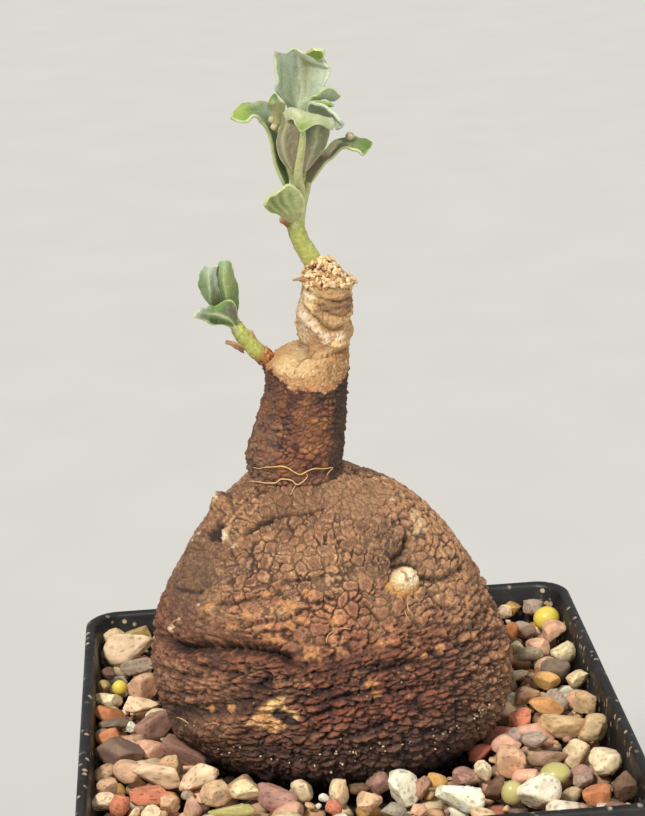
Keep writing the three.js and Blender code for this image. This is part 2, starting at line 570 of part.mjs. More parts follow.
// A leaf's blade: two sheets, split into the same triangles, with a wall round their edge
function blade(net, rows) {
  const columns = net[0].length + 1;
  const surface = (u, v) => {
    const rowPoints = net.map((row) => along(row, v * (row.length - 1)));
    return new THREE.Vector3(...along(rowPoints, u * (net.length - 1)));
  };
  const width = columns + 1;
  const upper = [];
  const lower = [];
  for (let i = 0; i <= rows; i += 1) {
    for (let j = 0; j <= columns; j += 1) {
      const u = i / rows;
      const v = j / columns;
      const step = 0.04;
      const lengthwise = surface(Math.min(u + step, 1), v).sub(surface(Math.max(u - step, 0), v));
      const across = surface(u, Math.min(v + step, 1)).sub(surface(u, Math.max(v - step, 0)));
      const normal = lengthwise.cross(across).normalize();
      const point = surface(u, v);
      upper.push(point.clone().addScaledVector(normal, BLADE_THICKNESS / 2).toArray());
      lower.push(point.clone().addScaledVector(normal, -BLADE_THICKNESS / 2).toArray());
    }
  }
  const count = upper.length;
  const index = [];
  for (let i = 0; i < rows; i += 1) {
    for (let j = 0; j < columns; j += 1) {
      const a = i * width + j;
      const b = a + 1;
      const c = a + width;
      const d = c + 1;
      index.push(a, c, b, b, c, d);
      index.push(count + a, count + b, count + c, count + b, count + d, count + c);
    }
  }
  const edge = [];
  for (let j = 0; j < columns; j += 1) edge.push(j);
  for (let i = 0; i < rows; i += 1) edge.push(i * width + columns);
  for (let j = columns; j > 0; j -= 1) edge.push(rows * width + j);
  for (let i = rows; i > 0; i -= 1) edge.push(i * width);
  edge.forEach((a, k) => {
    const b = edge[(k + 1) % edge.length];
    index.push(a, b, count + b, a, count + b, count + a);
  });
  const geometry = new THREE.BufferGeometry();
  geometry.setAttribute('position', new THREE.Float32BufferAttribute([...upper, ...lower].flat(), 3));
  geometry.setIndex(index);
  return solidOf(geometry);
}

function leaf({ stalk, net }, bladeRows) {
  if (stalk.length === 0) return blade(net, CURL_ROWS);
  const [root, tip] = STALK_RADIUS;
  const radiusAt = (t) => root + (tip - root) * t;
  return tube(stalk, radiusAt, STALK_SIDES, STALK_STEPS).add(blade(net, bladeRows));
}

// A dry scale: thickest in its middle, thin at its tip
function dryScale(points) {
  return tube(points, (t) => SCALE_RADIUS * (1.1 - 0.7 * t), STALK_SIDES, STALK_STEPS);
}

function makeShoot(stemShape, leaves, scales, bladeRows) {
  const leafSolids = leaves.map((shape) => leaf(shape, bladeRows));
  return union([stem(stemShape), ...leafSolids, ...scales.map(dryScale)]);
}

function makeMainShoot() {
  return makeShoot(MAIN_STEM, MAIN_LEAVES, MAIN_SCALES, MAIN_BLADE_ROWS);
}

function makeSideShoot() {
  return makeShoot(SIDE_STEM, SIDE_LEAVES, SIDE_SCALES, SIDE_BLADE_ROWS);
}

// Stones that fill the bed between the listed ones and all over its back
function fillerStones(random) {
  const fillers = [];
  const across = Math.floor(STONE_MARGIN / FILLER_PITCH);
  for (let row = -across; row <= across; row += 1) {
    for (let column = -across; column <= across; column += 1) {
      const x = (column + random() - 0.5) * FILLER_PITCH;
      const y = (row + random() - 0.5) * FILLER_PITCH;
      const length = 5.5 + 4 * random() ** 2;
      const height = length * (0.5 + 0.2 * random());
      const taken = STONES.some(([sx, sy, sl, sh]) => {
        return Math.hypot(x - sx, y - sy) < CROWDING * (length + (sl + sh) / 2);
      });
      if (!taken) fillers.push({ x, y, length, height });
    }
  }
  return fillers;
}

// A polygon without its part that lies nearer to another stone, as their sizes weigh it
function cutTowards(polygon, stone, other) {
  const weight = ({ x, y, length, height }) => x * x + y * y - ((length + height) / 4) ** 2;
  const excess = ([px, py]) => {
    return 2 * (px * (other.x - stone.x) + py * (other.y - stone.y)) - weight(other) + weight(stone);
  };
  return polygon.flatMap((a, k) => {
    const b = polygon[(k + 1) % polygon.length];
    const fromA = excess(a);
    const fromB = excess(b);
    const kept = fromA <= 0 ? [a] : [];
    if (fromA * fromB < 0) {
      const t = fromA / (fromA - fromB);
      kept.push([a[0] + (b[0] - a[0]) * t, a[1] + (b[1] - a[1]) * t]);
    }
    return kept;
  });
}

// The top of the gravel: each stone a low dome over the patch of the bed that it fills
function makeStoneTops(stones) {
  const reach = STONE_MARGIN;
  const bed = [[-reach, -reach], [reach, -reach], [reach, reach], [-reach, reach]];
  const triangles = [];
  for (const stone of stones) {
    const others = stones.filter((other) => other !== stone);
    const patch = others.reduce((polygon, other) => cutTowards(polygon, stone, other), bed);
    if (patch.length < 3) continue;
    const middle = [0, 1].map((k) => patch.reduce((sum, p) => sum + p[k], 0) / patch.length);
    const rise = stone.height * STONE_RISE;
    const shoulder = patch.map((p) => {
      return [...[0, 1].map((k) => middle[k] + (p[k] - middle[k]) * DOME_SHARE), BED_TOP + rise * 0.8];
    });
    patch.forEach(([x, y], k) => {
      const j = (k + 1) % patch.length;
      const foot = [x, y, BED_TOP];
      const nextFoot = [...patch[j], BED_TOP];
      triangles.push([foot, nextFoot, shoulder[j]], [foot, shoulder[j], shoulder[k]]);
      triangles.push([shoulder[k], shoulder[j], [...middle, BED_TOP + rise]]);
    });
  }
  return triangles;
}

// The bed closed below: a wall under the open edges of its top, then a flat bottom
function closeBed(top) {
  const bottom = SOIL_TOP;
  const name = (p) => p.map((v) => Math.round(v * 1000)).join();
  const edges = new Map();
  for (const corners of top) {
    corners.forEach((a, k) => edges.set(name(a) + name(corners[(k + 1) % 3]), [a, corners[(k + 1) % 3]]));
  }
  const open = [...edges.values()].filter(([a, b]) => !edges.has(name(b) + name(a)));
  const down = ([x, y]) => [x, y, bottom];
  const wall = open.flatMap(([a, b]) => [[b, a, down(a)], [b, down(a), down(b)]]);
  const floor = open.map(([a, b]) => [down(b), down(a), [0, 0, bottom]]);
  const geometry = new THREE.BufferGeometry();
  const positions = [...top, ...wall, ...floor].flat(2);
  geometry.setAttribute('position', new THREE.Float32BufferAttribute(positions, 3));
  return mergeVertices(geometry, 0.001);
}

// A stone's middle, moved in so that it stays clear of the pot's wall
function insidePot(stone) {
  const room = STONE_MARGIN - stone.length / 2;
  return {
    ...stone,
    x: THREE.MathUtils.clamp(stone.x, -room, room),
    y: THREE.MathUtils.clamp(stone.y, -room, room),
  };
}

function makeGravel(caudexSpace) {
  const listed = STONES.map(([x, y, length, height]) => ({ x, y, length, height }));
  const stones = [...listed, ...fillerStones(makeRandom(FILLER_SEED))].map(insidePot);
  const bed = solidOf(closeBed(makeStoneTops(stones)));
  const room = potFilling(SOIL_TOP + GAP, POT_HEIGHT);
  return biggest(bed.intersect(room).subtract(caudexSpace));
}

function makeSubstrate(caudexSpace) {
  return potFilling(POT_FLOOR + GAP, SOIL_TOP).subtract(caudexSpace);
}

function makeCaudex() {
  return biggest(makeCaudexForm(0).subtract(stem(MAIN_STEM, GAP)).subtract(stem(SIDE_STEM, GAP)));
}

function part(name, solid, material) {
  const mesh = new THREE.Mesh(geometryOf(solid), material);
  mesh.name = name;
  return mesh;
}

const caudexSpace = makeCaudexForm(GAP);
const plant = new THREE.Group();
plant.add(
  part('pot', makePot(), potPlastic),
  part('substrate', makeSubstrate(caudexSpace), soilMix),
  part('gravel', makeGravel(caudexSpace), gravelStone),
  part('caudex', makeCaudex(), bark),
  part('main_shoot', makeMainShoot(), greenStem),
  part('side_shoot', makeSideShoot(), greenStem),
);

export default plant;
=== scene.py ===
import math

import bmesh
import bpy
import numpy as np
from mathutils import Matrix, Vector, noise


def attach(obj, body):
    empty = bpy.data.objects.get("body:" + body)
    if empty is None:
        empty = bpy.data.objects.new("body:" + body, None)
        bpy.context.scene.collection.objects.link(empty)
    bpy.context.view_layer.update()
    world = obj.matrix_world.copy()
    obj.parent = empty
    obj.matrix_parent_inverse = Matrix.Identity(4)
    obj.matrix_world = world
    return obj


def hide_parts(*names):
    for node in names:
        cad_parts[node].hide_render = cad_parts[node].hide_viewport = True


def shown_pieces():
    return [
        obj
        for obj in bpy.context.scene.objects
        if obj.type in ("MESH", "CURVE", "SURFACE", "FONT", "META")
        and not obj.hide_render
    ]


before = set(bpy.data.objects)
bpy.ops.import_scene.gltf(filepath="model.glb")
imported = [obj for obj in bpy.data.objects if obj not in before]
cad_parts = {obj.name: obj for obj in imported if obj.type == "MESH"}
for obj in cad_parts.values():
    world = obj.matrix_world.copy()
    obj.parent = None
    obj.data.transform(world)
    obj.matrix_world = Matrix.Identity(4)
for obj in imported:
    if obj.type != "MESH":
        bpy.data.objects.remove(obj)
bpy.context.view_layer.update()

MM = 0.001
BODY = "root"

# Camera, as fitted to the photo
PHOTO_HEIGHT_PX = 816
FOCAL_PX = 2245
SENSOR_MM = 36
CAMERA_PLACE = (-28, -420.5, 312.4)
CAMERA_AZIMUTH = -3.51
CAMERA_TILT = 18.26
CAMERA_ROLL = -2.76

# The pot, as in the CAD but with rounder corners
POT_HEIGHT = 110
POT_TOP_HALF = 55
POT_BASE_HALF = 43
POT_WALL = 1.2
POT_FLOOR = 1.8
BAND_HEIGHT = 9
BAND_STEP = 0.8
RIM_WIDTH = 2.2
CORNER_RADIUS = 7
CORNER_STEPS = 14
DRAIN_RADIUS = 4
DRAIN_OFFSET = 27

# Where the stones are, as in the CAD: how far from the pot's middle, the grid and the seed of those
# that are not listed, and how close they come to a listed one
STONE_MARGIN = 53
FILLER_PITCH = 7
FILLER_SEED = 20231
CROWDING = 0.33

# The levels of the stones' middles, and the caudex's middle and radius among them
STONE_LEVEL = 105.3
FILLER_LEVEL = 103.8
CHIPPING_LEVEL = 102.6
UNDER_LEVEL = 100.4
CAUDEX_FOOT = (-1.7, 4, 31.5)

# Rings of the caudex from the taproot's tip to the top of the cut stub, as in the CAD:
# height, middle x, middle y, radius along x, radius along y
RINGS = [
    [64, -2, 5, 0, 0], [65, -2, 5, 3, 3], [74, -2, 5, 5, 5], [83, -2, 5, 8, 8],
    [90, -2, 5, 12, 12], [94, -2, 4.5, 17, 17], [98, -1.8, 4.2, 22.5, 22],
    [102, -1.7, 4, 28, 27.5], [105.5, -1.6, 4, 32, 31.5], [109, -1.7, 4, 34.8, 34],
    [113, -1.9, 4, 36.2, 35.2], [119, -2.6, 4, 36.4, 35.4], [125, -3.2, 4.2, 35.3, 34.8],
    [130.5, -3.6, 4.6, 33.4, 33.5], [136, -3.7, 5, 30.8, 31.4], [141, -3.7, 5.2, 27.8, 29],
    [146, -3.8, 5.4, 24.3, 26], [150, -4.1, 5.6, 20.8, 23], [153.4, -5, 5.6, 16.4, 18.4],
    [156.4, -6.3, 5, 12.2, 13.6], [158.6, -7.6, 4.2, 9.9, 10.2], [161, -8, 3.8, 9.3, 9.2],
    [164, -7.9, 3.6, 9.5, 9.3], [169, -6.7, 3.4, 8.9, 8.8], [173.5, -5.7, 3.2, 8.3, 8.3],
    [177, -5.1, 3, 7.9, 8], [180.5, -4.8, 3, 8, 7.9], [182.5, -4.9, 3, 8.3, 7.6],
    [184.5, -3.4, 3, 7.2, 6.6], [186, -1.4, 3, 5.3, 5.4], [188, -0.9, 3, 5.3, 5.2],
    [191, -0.7, 3, 5.5, 5.4], [194, -0.5, 2.9, 5.3, 5.2], [197, -0.1, 2.8, 4.9, 4.8],
    [199.6, 0, 2.7, 4.6, 4.6], [201, 0, 2.6, 3.9, 3.9], [202, 0, 2.5, 2.2, 2.2],
    [202.4, 0, 2.5, 0, 0],
]

# The angle that faces the camera
FRONT = 270

# Knobs and pits of the body: angle and height, then reach and how far each stands out
KNOBS = [
    [(181, 151.6), 3.1, 1.9], [(186, 145), 4.2, 1.2], [(196, 144.5), 2.2, -0.9],
    [(337, 149.5), 3, 0.6], [(346, 143), 4, 0.8], [(350, 135), 4, -0.9], [(340, 122), 5.5, 1],
    [(191, 129), 2, -1.2], [(320, 136.6), 1.3, -0.8], [(266, 160.5), 3, 0.4], [(333, 152), 2.4, 0.6],
    [(30, 128), 8, 1.2], [(75, 140), 7, 1.1], [(120, 124), 9, 1.3], [(150, 137), 5, -1],
    [(60, 112), 7, 1], [(95, 152), 4, 1.2], [(175, 152.4), 1.7, 1.5],
]
NECK_KNOBS = [
    [(200, 173.1), 1.7, 0.8], [(220, 172), 1.3, 0.5], [(205, 165.3), 2.3, 0.9], [(228, 167.6), 1.2, 0.4],
    [(238, 165.2), 1.1, 0.4], [(332, 181.6), 1.6, 0.5], [(215, 184), 2.2, 0.5],
]

# Folds of the body: angle and height along each, then reach and how far each stands out
FOLDS = [
    [[(192, 127.8), (200, 128.8), (210, 129.7), (220, 131.3), (235, 132.9), (247, 133), (254, 131.8)],
     1.25, -2.9],
    [[(206, 134.5), (235, 137.4), (262, 140)], 3, 0.8],
    [[(200, 114), (216, 118), (231, 121), (246, 127.5)], 2.2, -1.3],
    [[(202, 110.5), (216, 114), (231, 117), (246, 124), (252, 126)], 2.6, 1.5],
    [[(322, 149), (317, 148.1), (312, 147.3), (304, 146.7)], 0.9, -1.8],
    [[(331, 150.6), (326, 151.2), (322, 149)], 0.6, -0.8],
    [[(311, 142.6), (317, 141.3), (324, 140.3), (331, 139.8), (342, 139)], 0.75, -1.2],
    [[(313, 138.8), (314.5, 137), (318, 135.4), (323, 134.8)], 0.6, -0.9],
    [[(283, 141), (285, 139.4), (287.5, 137.4)], 0.4, -0.5],
    [[(174, 153.6), (188, 153.6), (199, 152.6), (199, 151), (195, 149.2)], 0.5, -1],
    [[(214, 149.6), (216, 148.4), (219, 147.5), (223, 146.5)], 0.35, -0.6],
    [[(236, 154.1), (250, 154.9), (264, 155.2), (280, 155.6)], 0.4, -0.5],
    [[(222, 139.5), (228, 140), (233, 141), (239, 142.1)], 0.45, -0.7],
    [[(249, 144.8), (255, 145.4), (262, 145.8), (267, 146.2)], 0.4, -0.6],
    [[(226, 135.6), (236, 136.8), (244, 138.2), (252, 139.1), (261, 140.8), (272, 142.8)], 0.5, -0.9],
    [[(258, 123.6), (267, 124.4), (274, 125.4), (281, 125.8)], 0.55, -0.9],
    [[(262, 121.8), (274, 123.4), (290, 124.5), (302, 124), (316, 122.4)], 0.6, -1],
    [[(262, 129.8), (279, 130.1), (294, 129.2), (304, 129.3)], 0.6, -0.8],
    [[(261, 125.8), (268, 127), (278, 128.6), (290, 129)], 0.5, -0.7],
    [[(262, 116.6), (280, 118.4), (298, 118.8), (310, 118.6)], 0.6, -0.8],
    [[(252, 113), (276, 115.2), (300, 116), (318, 115)], 0.7, -0.7],
    [[(240, 127.6), (252, 128.6), (262, 131.6), (280, 133.4)], 0.5, -0.6],
    [[(188, 137), (198, 138.4), (210, 140)], 0.5, -0.5],
    [[(190, 122), (204, 123.4), (220, 126)], 0.7, -0.8],
    [[(194, 117), (208, 119.6), (222, 122.6), (234, 126)], 0.6, -0.7],
    [[(20, 118), (48, 121), (78, 119)], 2.2, -1.4],
    [[(100, 132), (128, 135), (150, 131)], 1.8, -1.6],
    [[(160, 121), (172, 124), (188, 123)], 1.4, -1.1],
    [[(352, 126), (10, 128), (30, 127)], 1.2, -1.1],
]

# Folds of the cut stub and its foot, in the same way
STUB_FOLDS = [
    [[(190, 186.6), (216, 186.3), (248, 185.3), (266, 184.9), (301, 185), (324, 185.1), (342, 184)],
     0.5, -0.9],
    [[(342, 184.2), (30, 185.5), (90, 186.2), (150, 186.6), (190, 186.6)], 0.6, -0.7],
    [[(196, 193), (212, 192.4), (233, 191.1), (257, 189.1), (274, 187.6), (294, 186.7), (326, 186.5)],
     0.95, 0.6],
    [[(205, 194.6), (226, 193.7), (246, 192.3), (266, 190.5), (282, 189.8), (303, 189.9), (328, 190.8)],
     0.45, -0.8],
    [[(210, 195.2), (236, 194.4), (262, 192.4), (280, 191.2), (312, 191.2), (334, 192.2)], 0.6, 0.45],
    [[(243, 195.2), (266, 193.7), (284, 192.8), (312, 192.4), (336, 193)], 0.35, -0.45],
    [[(212, 197.6), (246, 196.3), (269, 195.8), (300, 195.2), (335, 195.6)], 0.35, -0.6],
    [[(204, 197), (225, 196.2), (244, 195.4)], 0.5, 0.35],
    [[(224, 199.5), (244, 199.1), (266, 198.7), (287, 198.8), (326, 198.4)], 0.4, -0.5],
    [[(20, 192), (60, 193), (110, 191.6), (160, 193)], 0.7, -0.7],
    [[(0, 196), (50, 195.4), (100, 196.4), (170, 195.6)], 0.6, -0.6],
    [[(334, 191), (0, 190.6), (40, 189)], 0.7, -0.6],
    [[(340, 188), (30, 188.6), (100, 189), (170, 190)], 0.8, 0.5],
]


def along(points, places):
    """The smooth curve through a list of points, at places counted in its steps."""
    points = np.asarray(points, float)
    padded = np.concatenate([[2 * points[0] - points[1]], points, [2 * points[-1] - points[-2]]])
    places = np.asarray(places, float)
    start = np.clip(np.floor(places).astype(int), 0, len(points) - 2)
    t = (places - start).reshape(places.shape + (1,) * (points.ndim - 1))
    a, b, c, d = (padded[start + k] for k in range(4))
    second = (2 * a - 5 * b + 4 * c - d) * t**2
    third = (3 * b - a - 3 * c + d) * t**3
    return 0.5 * (2 * b + (c - a) * t + second + third)


def soft_step(value, low, high):
    """0 below low, 1 above high, and smooth between them."""
    t = np.clip((value - low) / (high - low), 0, 1)
    return t * t * (3 - 2 * t)


def unit(vectors):
    return vectors / np.maximum(np.linalg.norm(vectors, axis=-1, keepdims=True), 1e-9)


def rough(points, size, seed=0):
    """Smooth noise, about -1 to 1, whose bumps are about size apart. Size is one number or three."""
    return np.array([noise.noise(p) for p in (points / size + 17.3 * seed).tolist()])


def cells(points):
    """Cells of unit size: each point's distance to its cell's border, a random value of the cell, and
    how far the point is below the cell's middle."""
    near = np.empty((len(points), 2))
    middles = np.empty((len(points), 2, 3))
    for k, p in enumerate(points.tolist()):
        distances, centres = noise.voronoi(p)
        near[k] = distances[:2]
        middles[k] = centres[:2]
    apart = np.linalg.norm(middles[:, 1] - middles[:, 0], axis=1)
    border = (near[:, 1] ** 2 - near[:, 0] ** 2) / (2 * np.maximum(apart, 1e-6))
    value = np.modf(np.abs(np.sin(middles[:, 0] @ np.array([12.99, 78.23, 37.72]))) * 4375.85)[0]
    return border, value, middles[:, 0, 2] - points[:, 2]


# Meshes and pieces


def linear(colour):
    """A screen colour as the shader's numbers."""
    share = np.asarray(colour, float) / 255
    return np.where(share <= 0.04045, share / 12.92, ((share + 0.055) / 1.055) ** 2.4)


class Paint:
    """Colours of a mesh's points, laid one over another."""

    def __init__(self, count, base):
        self.colours = np.tile(linear(base), (count, 1))

    def lay(self, colour, amount):
        amount = np.clip(amount, 0, 1)[:, None]
        self.colours += (linear(colour) - self.colours) * amount


def grid_faces(rows, columns, closed):
    """Faces of a grid of points, row after row. A closed grid's last column joins its first."""
    i, j = np.meshgrid(np.arange(rows - 1), np.arange(columns if closed else columns - 1), indexing="ij")
    ahead = (j + 1) % columns
    corners = [i * columns + j, i * columns + ahead, (i + 1) * columns + ahead, (i + 1) * columns + j]
    return np.stack(corners, -1).reshape(-1, 4).tolist()


def closed_skin(grid):
    """Points and faces of a tube from a grid of rings, shut by a point at each end."""
    rows, columns = grid.shape[:2]
    faces = grid_faces(rows, columns, True)
    start = rows * columns
    top = (rows - 1) * columns
    for j in range(columns):
        ahead = (j + 1) % columns
        faces.append([start, ahead, j])
        faces.append([start + 1, top + j, top + ahead])
    ends = [grid[0].mean(0), grid[-1].mean(0)]
    return np.concatenate([grid.reshape(-1, 3), ends]), faces


def join(parts):
    """Several (points, faces, colours) as one."""
    points, faces, colours = [], [], []
    count = 0
    for part_points, part_faces, part_colours in parts:
        points.append(part_points)
        faces.extend([[k + count for k in face] for face in part_faces])
        colours.append(part_colours)
        count += len(part_points)
    return np.concatenate(points), faces, np.concatenate(colours)


def add_piece(name, points, faces, colours, material, slot, node):
    """A shown piece that stands for a CAD node."""
    mesh = bpy.data.meshes.new(name)
    mesh.from_pydata((np.asarray(points) * MM).tolist(), [], faces)
    if colours is not None:
        attribute = mesh.attributes.new("paint", "FLOAT_COLOR", "POINT")
        with_alpha = np.concatenate([colours, np.ones((len(colours), 1))], axis=1)
        attribute.data.foreach_set("color", with_alpha.astype(np.float32).ravel())
    mesh.polygons.foreach_set("use_smooth", [True] * len(mesh.polygons))
    mesh.materials.append(material)
    piece = bpy.data.objects.new(name, mesh)
    bpy.context.scene.collection.objects.link(piece)
    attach(piece, BODY)
    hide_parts(node)
    return piece


# Materials


def node(tree, kind, inputs=None, **settings):
    """A shader node whose inputs are values or other nodes' outputs."""
    made = tree.nodes.new("ShaderNode" + kind)
    for name, value in settings.items():
        setattr(made, name, value)
    for name, value in (inputs or {}).items():
        if isinstance(value, bpy.types.NodeSocket):
            tree.links.new(value, made.inputs[name])
        else:
            made.inputs[name].default_value = value
    return made


def rgba(colour):
    return (*linear(colour), 1)


def blend(tree, factor, a, b):
    """Two colours mixed."""
    made = node(tree, "Mix", data_type="RGBA")
    for index, value in ((0, factor), (6, a), (7, b)):
        if isinstance(value, bpy.types.NodeSocket):
            tree.links.new(value, made.inputs[index])
        else:
            made.inputs[index].default_value = value
    return made.outputs[2]


def product(tree, a, b):
    return node(tree, "Math", {0: a, 1: b}, operation="MULTIPLY").outputs["Value"]


def noise_output(tree, size, detail, roughness):
    """Procedural noise with features of a size in millimetres."""
    place = node(tree, "TexCoord").outputs["Object"]
    inputs = {"Vector": place, "Scale": 1 / (size * MM), "Detail": detail, "Roughness": roughness}
    return node(tree, "TexNoise", inputs).outputs["Fac"]


def ramp(tree, value, low, high, start=0.0, end=1.0):
    """A value stretched from low..high to start..end and kept in it."""
    inputs = {"Value": value, 1: low, 2: high, 3: start, 4: end}
    return node(tree, "MapRange", inputs).outputs["Result"]


def add_relief(tree, shader, height, distance):
    """Bump the surface by a height, whose rise from 0 to 1 is a distance in millimetres."""
    relief = node(tree, "Bump", {"Height": height, "Distance": distance * MM})
    tree.links.new(relief.outputs["Normal"], shader.inputs["Normal"])


def new_material(name, **fixed):
    """A material's tree and its shader, with the values that are the same all over."""
    material = bpy.data.materials.new(name)
    material.use_nodes = True
    tree = material.node_tree
    shader = tree.nodes["Principled BSDF"]
    for socket, value in fixed.items():
        shader.inputs[socket.replace("_", " ")].default_value = value
    return material, tree, shader


def crackle_output(tree, size):
    """0 on fine wandering cracks, about a size in millimetres apart, and 1 clear of them."""
    place = node(tree, "TexCoord").outputs["Object"]
    noise_inputs = {"Vector": place, "Scale": 0.7 / (size * MM), "Detail": 3.0}
    wander = node(tree, "TexNoise", noise_inputs).outputs["Color"]
    reach = (0.9 * size * MM,) * 3
    moved = node(tree, "VectorMath", {0: wander, 1: reach, 2: place}, operation="MULTIPLY_ADD")
    cell_inputs = {"Vector": moved.outputs["Vector"], "Scale": 1 / (size * MM)}
    edges = node(tree, "TexVoronoi", cell_inputs, feature="DISTANCE_TO_EDGE")
    return ramp(tree, edges.outputs["Distance"], 0.0, 0.16)


def painted_material(name, grain_size, grain, roughness, bump_size, bump_height, crackle=None, **fixed):
    """A material whose paint has a finer grain in colour, gloss and relief, and may be crackled."""
    material, tree, shader = new_material(name, **fixed)
    paint = node(tree, "Attribute", attribute_name="paint").outputs["Color"]
    speckle = noise_output(tree, grain_size, 5, 0.7)
    shade = ramp(tree, speckle, 0.3, 0.7, 1 - grain, 1 + grain)
    fine = noise_output(tree, bump_size, 5, 0.65)
    height = fine
    if crackle:
        clear = crackle_output(tree, crackle)
        dim = ramp(tree, clear, 0, 1, 0.8, 1.07)
        shade = product(tree, shade, dim)
        height = node(tree, "Math", {0: clear, 1: 0.35, 2: fine}, operation="MULTIPLY_ADD").outputs["Value"]
    shaded = node(tree, "VectorMath", {0: paint, "Scale": shade}, operation="SCALE").outputs["Vector"]
    tree.links.new(shaded, shader.inputs["Base Color"])
    low, high = roughness
    tree.links.new(ramp(tree, fine, 0.35, 0.65, low, high), shader.inputs["Roughness"])
    add_relief(tree, shader, height, bump_height)
    return material


# The caudex


def skin(angle, place):
    """Points of the smooth caudex at angles in radians and places along RINGS."""
    ring = along(RINGS, place)
    z, x, y, radius_x, radius_y = (ring[..., k] for k in range(5))
    radius_x = np.maximum(radius_x, 0)
    radius_y = np.maximum(radius_y, 0)
    return np.stack([x + radius_x * np.cos(angle), y + radius_y * np.sin(angle), z], -1)


def skin_normal(angle, place):
    step = 0.01
    round_it = skin(angle + step, place) - skin(angle - step, place)
    up = skin(angle, place + step) - skin(angle, place - step)
    return unit(np.cross(round_it, up))


HEIGHTS = [ring[0] for ring in RINGS]


def on_skin(place):
    """The point of the smooth caudex at an angle and a height."""
    degrees, z = place
    return skin(np.radians(degrees), np.interp(z, HEIGHTS, np.arange(len(HEIGHTS))))


def route_points(route, count=24):
    """Points along a route of angles and heights, which may cross from 359 to 0 degrees."""
    unwrapped = np.array(route, float)
    unwrapped[:, 0] = np.degrees(np.unwrap(np.radians(unwrapped[:, 0])))
    places = np.linspace(0, len(route) - 1, count)
    return np.array([on_skin(place) for place in along(unwrapped, places)])


def distance_to(points, targets):
    """Each point's distance to the nearest of the targets."""
    nearest = np.full(len(points), 1e9)
    for target in np.atleast_2d(targets):
        nearest = np.minimum(nearest, ((points - target) ** 2).sum(1))
    return np.sqrt(nearest)


def swell(distance, reach, height):
    return height * np.exp(-((distance / reach) ** 2))


def domed(border, reach):
    """How high a rounded plate is at a distance from its border, from 0 to 1."""
    return 1 - (1 - np.clip(border / reach, 0, 1)) ** 2


def mixed_cells(first, second, share):
    """Two sorts of cells, with a share of the second."""
    return [a + (b - a) * share for a, b in zip(first, second)]


def wobbly(points, reach, ragged):
    """The points a little out of place, so that a mark measured from them has a torn edge."""
    return points + reach * np.stack([ragged, -ragged, ragged], -1)


def knobbed(points, knobs):
    """The relief of a list of knobs and pits."""
    return sum(swell(distance_to(points, on_skin(place)), reach, out) for place, reach, out in knobs)


def dab(points, place, reach, torn):
    """1 in a patch of the skin, wider than high and with a torn edge, and 0 beyond it."""
    away = (points - on_skin(place)) * np.array([0.75, 0.75, 1.3])
    distance = np.linalg.norm(away, axis=1) + 1.1 * reach * torn
    return 1 - soft_step(distance, reach * 0.5, reach * 1.25)


def lay_dabs(paint, points, spots, torn, colour, share):
    """Paint a list of patches, each a place and a reach."""
    for place, reach in spots:
        paint.lay(colour, dab(points, place, reach, torn) * share)


def within(degrees, z, outline, ragged):
    """1 inside an outline of angles and heights on the body and 0 outside, with a torn edge."""
    place = np.stack([degrees * BODY_MM_PER_DEGREE, z], -1)
    corners = np.array(outline) * np.array([BODY_MM_PER_DEGREE, 1])
    nearest = np.full(len(z), 1e9)
    is_inside = np.zeros(len(z), bool)
    for a, b in zip(corners, np.roll(corners, -1, axis=0)):
        edge = b - a
        share = np.clip((place - a) @ edge / (edge @ edge), 0, 1)
        nearest = np.minimum(nearest, np.linalg.norm(place - a - share[:, None] * edge, axis=1))
        crossing = a[0] + (z - a[1]) * edge[0] / (edge[1] if edge[1] else 1e-9)
        is_inside ^= ((a[1] > z) != (b[1] > z)) & (place[:, 0] < crossing)
    signed = np.where(is_inside, nearest, -nearest)
    return soft_step(signed + 0.55 * ragged, -0.3, 0.3)


def skin_grid(first, last, rows, columns, crowding):
    """Places and angles of a grid over the caudex between two heights, closer together in front."""
    start, end = np.interp([first, last], HEIGHTS, np.arange(len(HEIGHTS)))
    places = np.linspace(start, end, 600)
    ring = along(RINGS, places)
    walked = np.concatenate([[0], np.cumsum(np.hypot(np.diff(ring[:, 0]), np.diff(ring[:, 3])))])
    even = np.interp(np.linspace(0, walked[-1], rows), walked, places)
    from_front = np.linspace(0, 2 * np.pi, columns, endpoint=False)
    angles = np.radians(FRONT) + from_front - crowding * np.sin(from_front)
    return np.meshgrid(even, angles, indexing="ij")


def lay_of_the_land(grid_places, grid_angles):
    """Flat arrays of a grid's smooth points, outward directions and angles in degrees."""
    angle = grid_angles.ravel()
    place = grid_places.ravel()
    return skin(angle, place), skin_normal(angle, place), np.degrees(angle) % 360


def between(value, low, low_end, high_end, high):
    """1 between two limits and 0 beyond them, with soft ends."""
    return soft_step(value, low, low_end) * (1 - soft_step(value, high_end, high))


def pushed(points, size, seed):
    """Smooth noise in three directions."""
    return np.stack([rough(points, size, seed + k) for k in range(3)], -1)


def folded(points, folds):
    """The relief of a list of folds, and how deep in a groove each point is, from 0 to 1."""
    relief = np.zeros(len(points))
    grooves = np.zeros(len(points))
    for route, reach, out in folds:
        distance = distance_to(points, route_points(route))
        relief += swell(distance, reach, out)
        if out < 0:
            grooves = np.maximum(grooves, swell(distance, reach * 0.8, 1))
    return relief, grooves


def sloped(points):
    """The points with the stub's cut end lowered towards its right side."""
    drop = 2.6 * soft_step(points[..., 0], 1.2, 4.2) * soft_step(points[..., 2], 196.5, 201.5)
    return points - drop[..., None] * np.array([0, 0, 1])


def add_bark(name, grid, colours, end_colour, material):
    """A closed piece of the caudex from a grid of its points, with the colour of its two ends."""
    points, faces = closed_skin(grid)
    ends = np.tile(linear(end_colour), (2, 1))
    all_colours = np.concatenate([colours, ends])
    add_piece(name, sloped(points), faces, all_colours, material, "bark", "caudex")


# The body

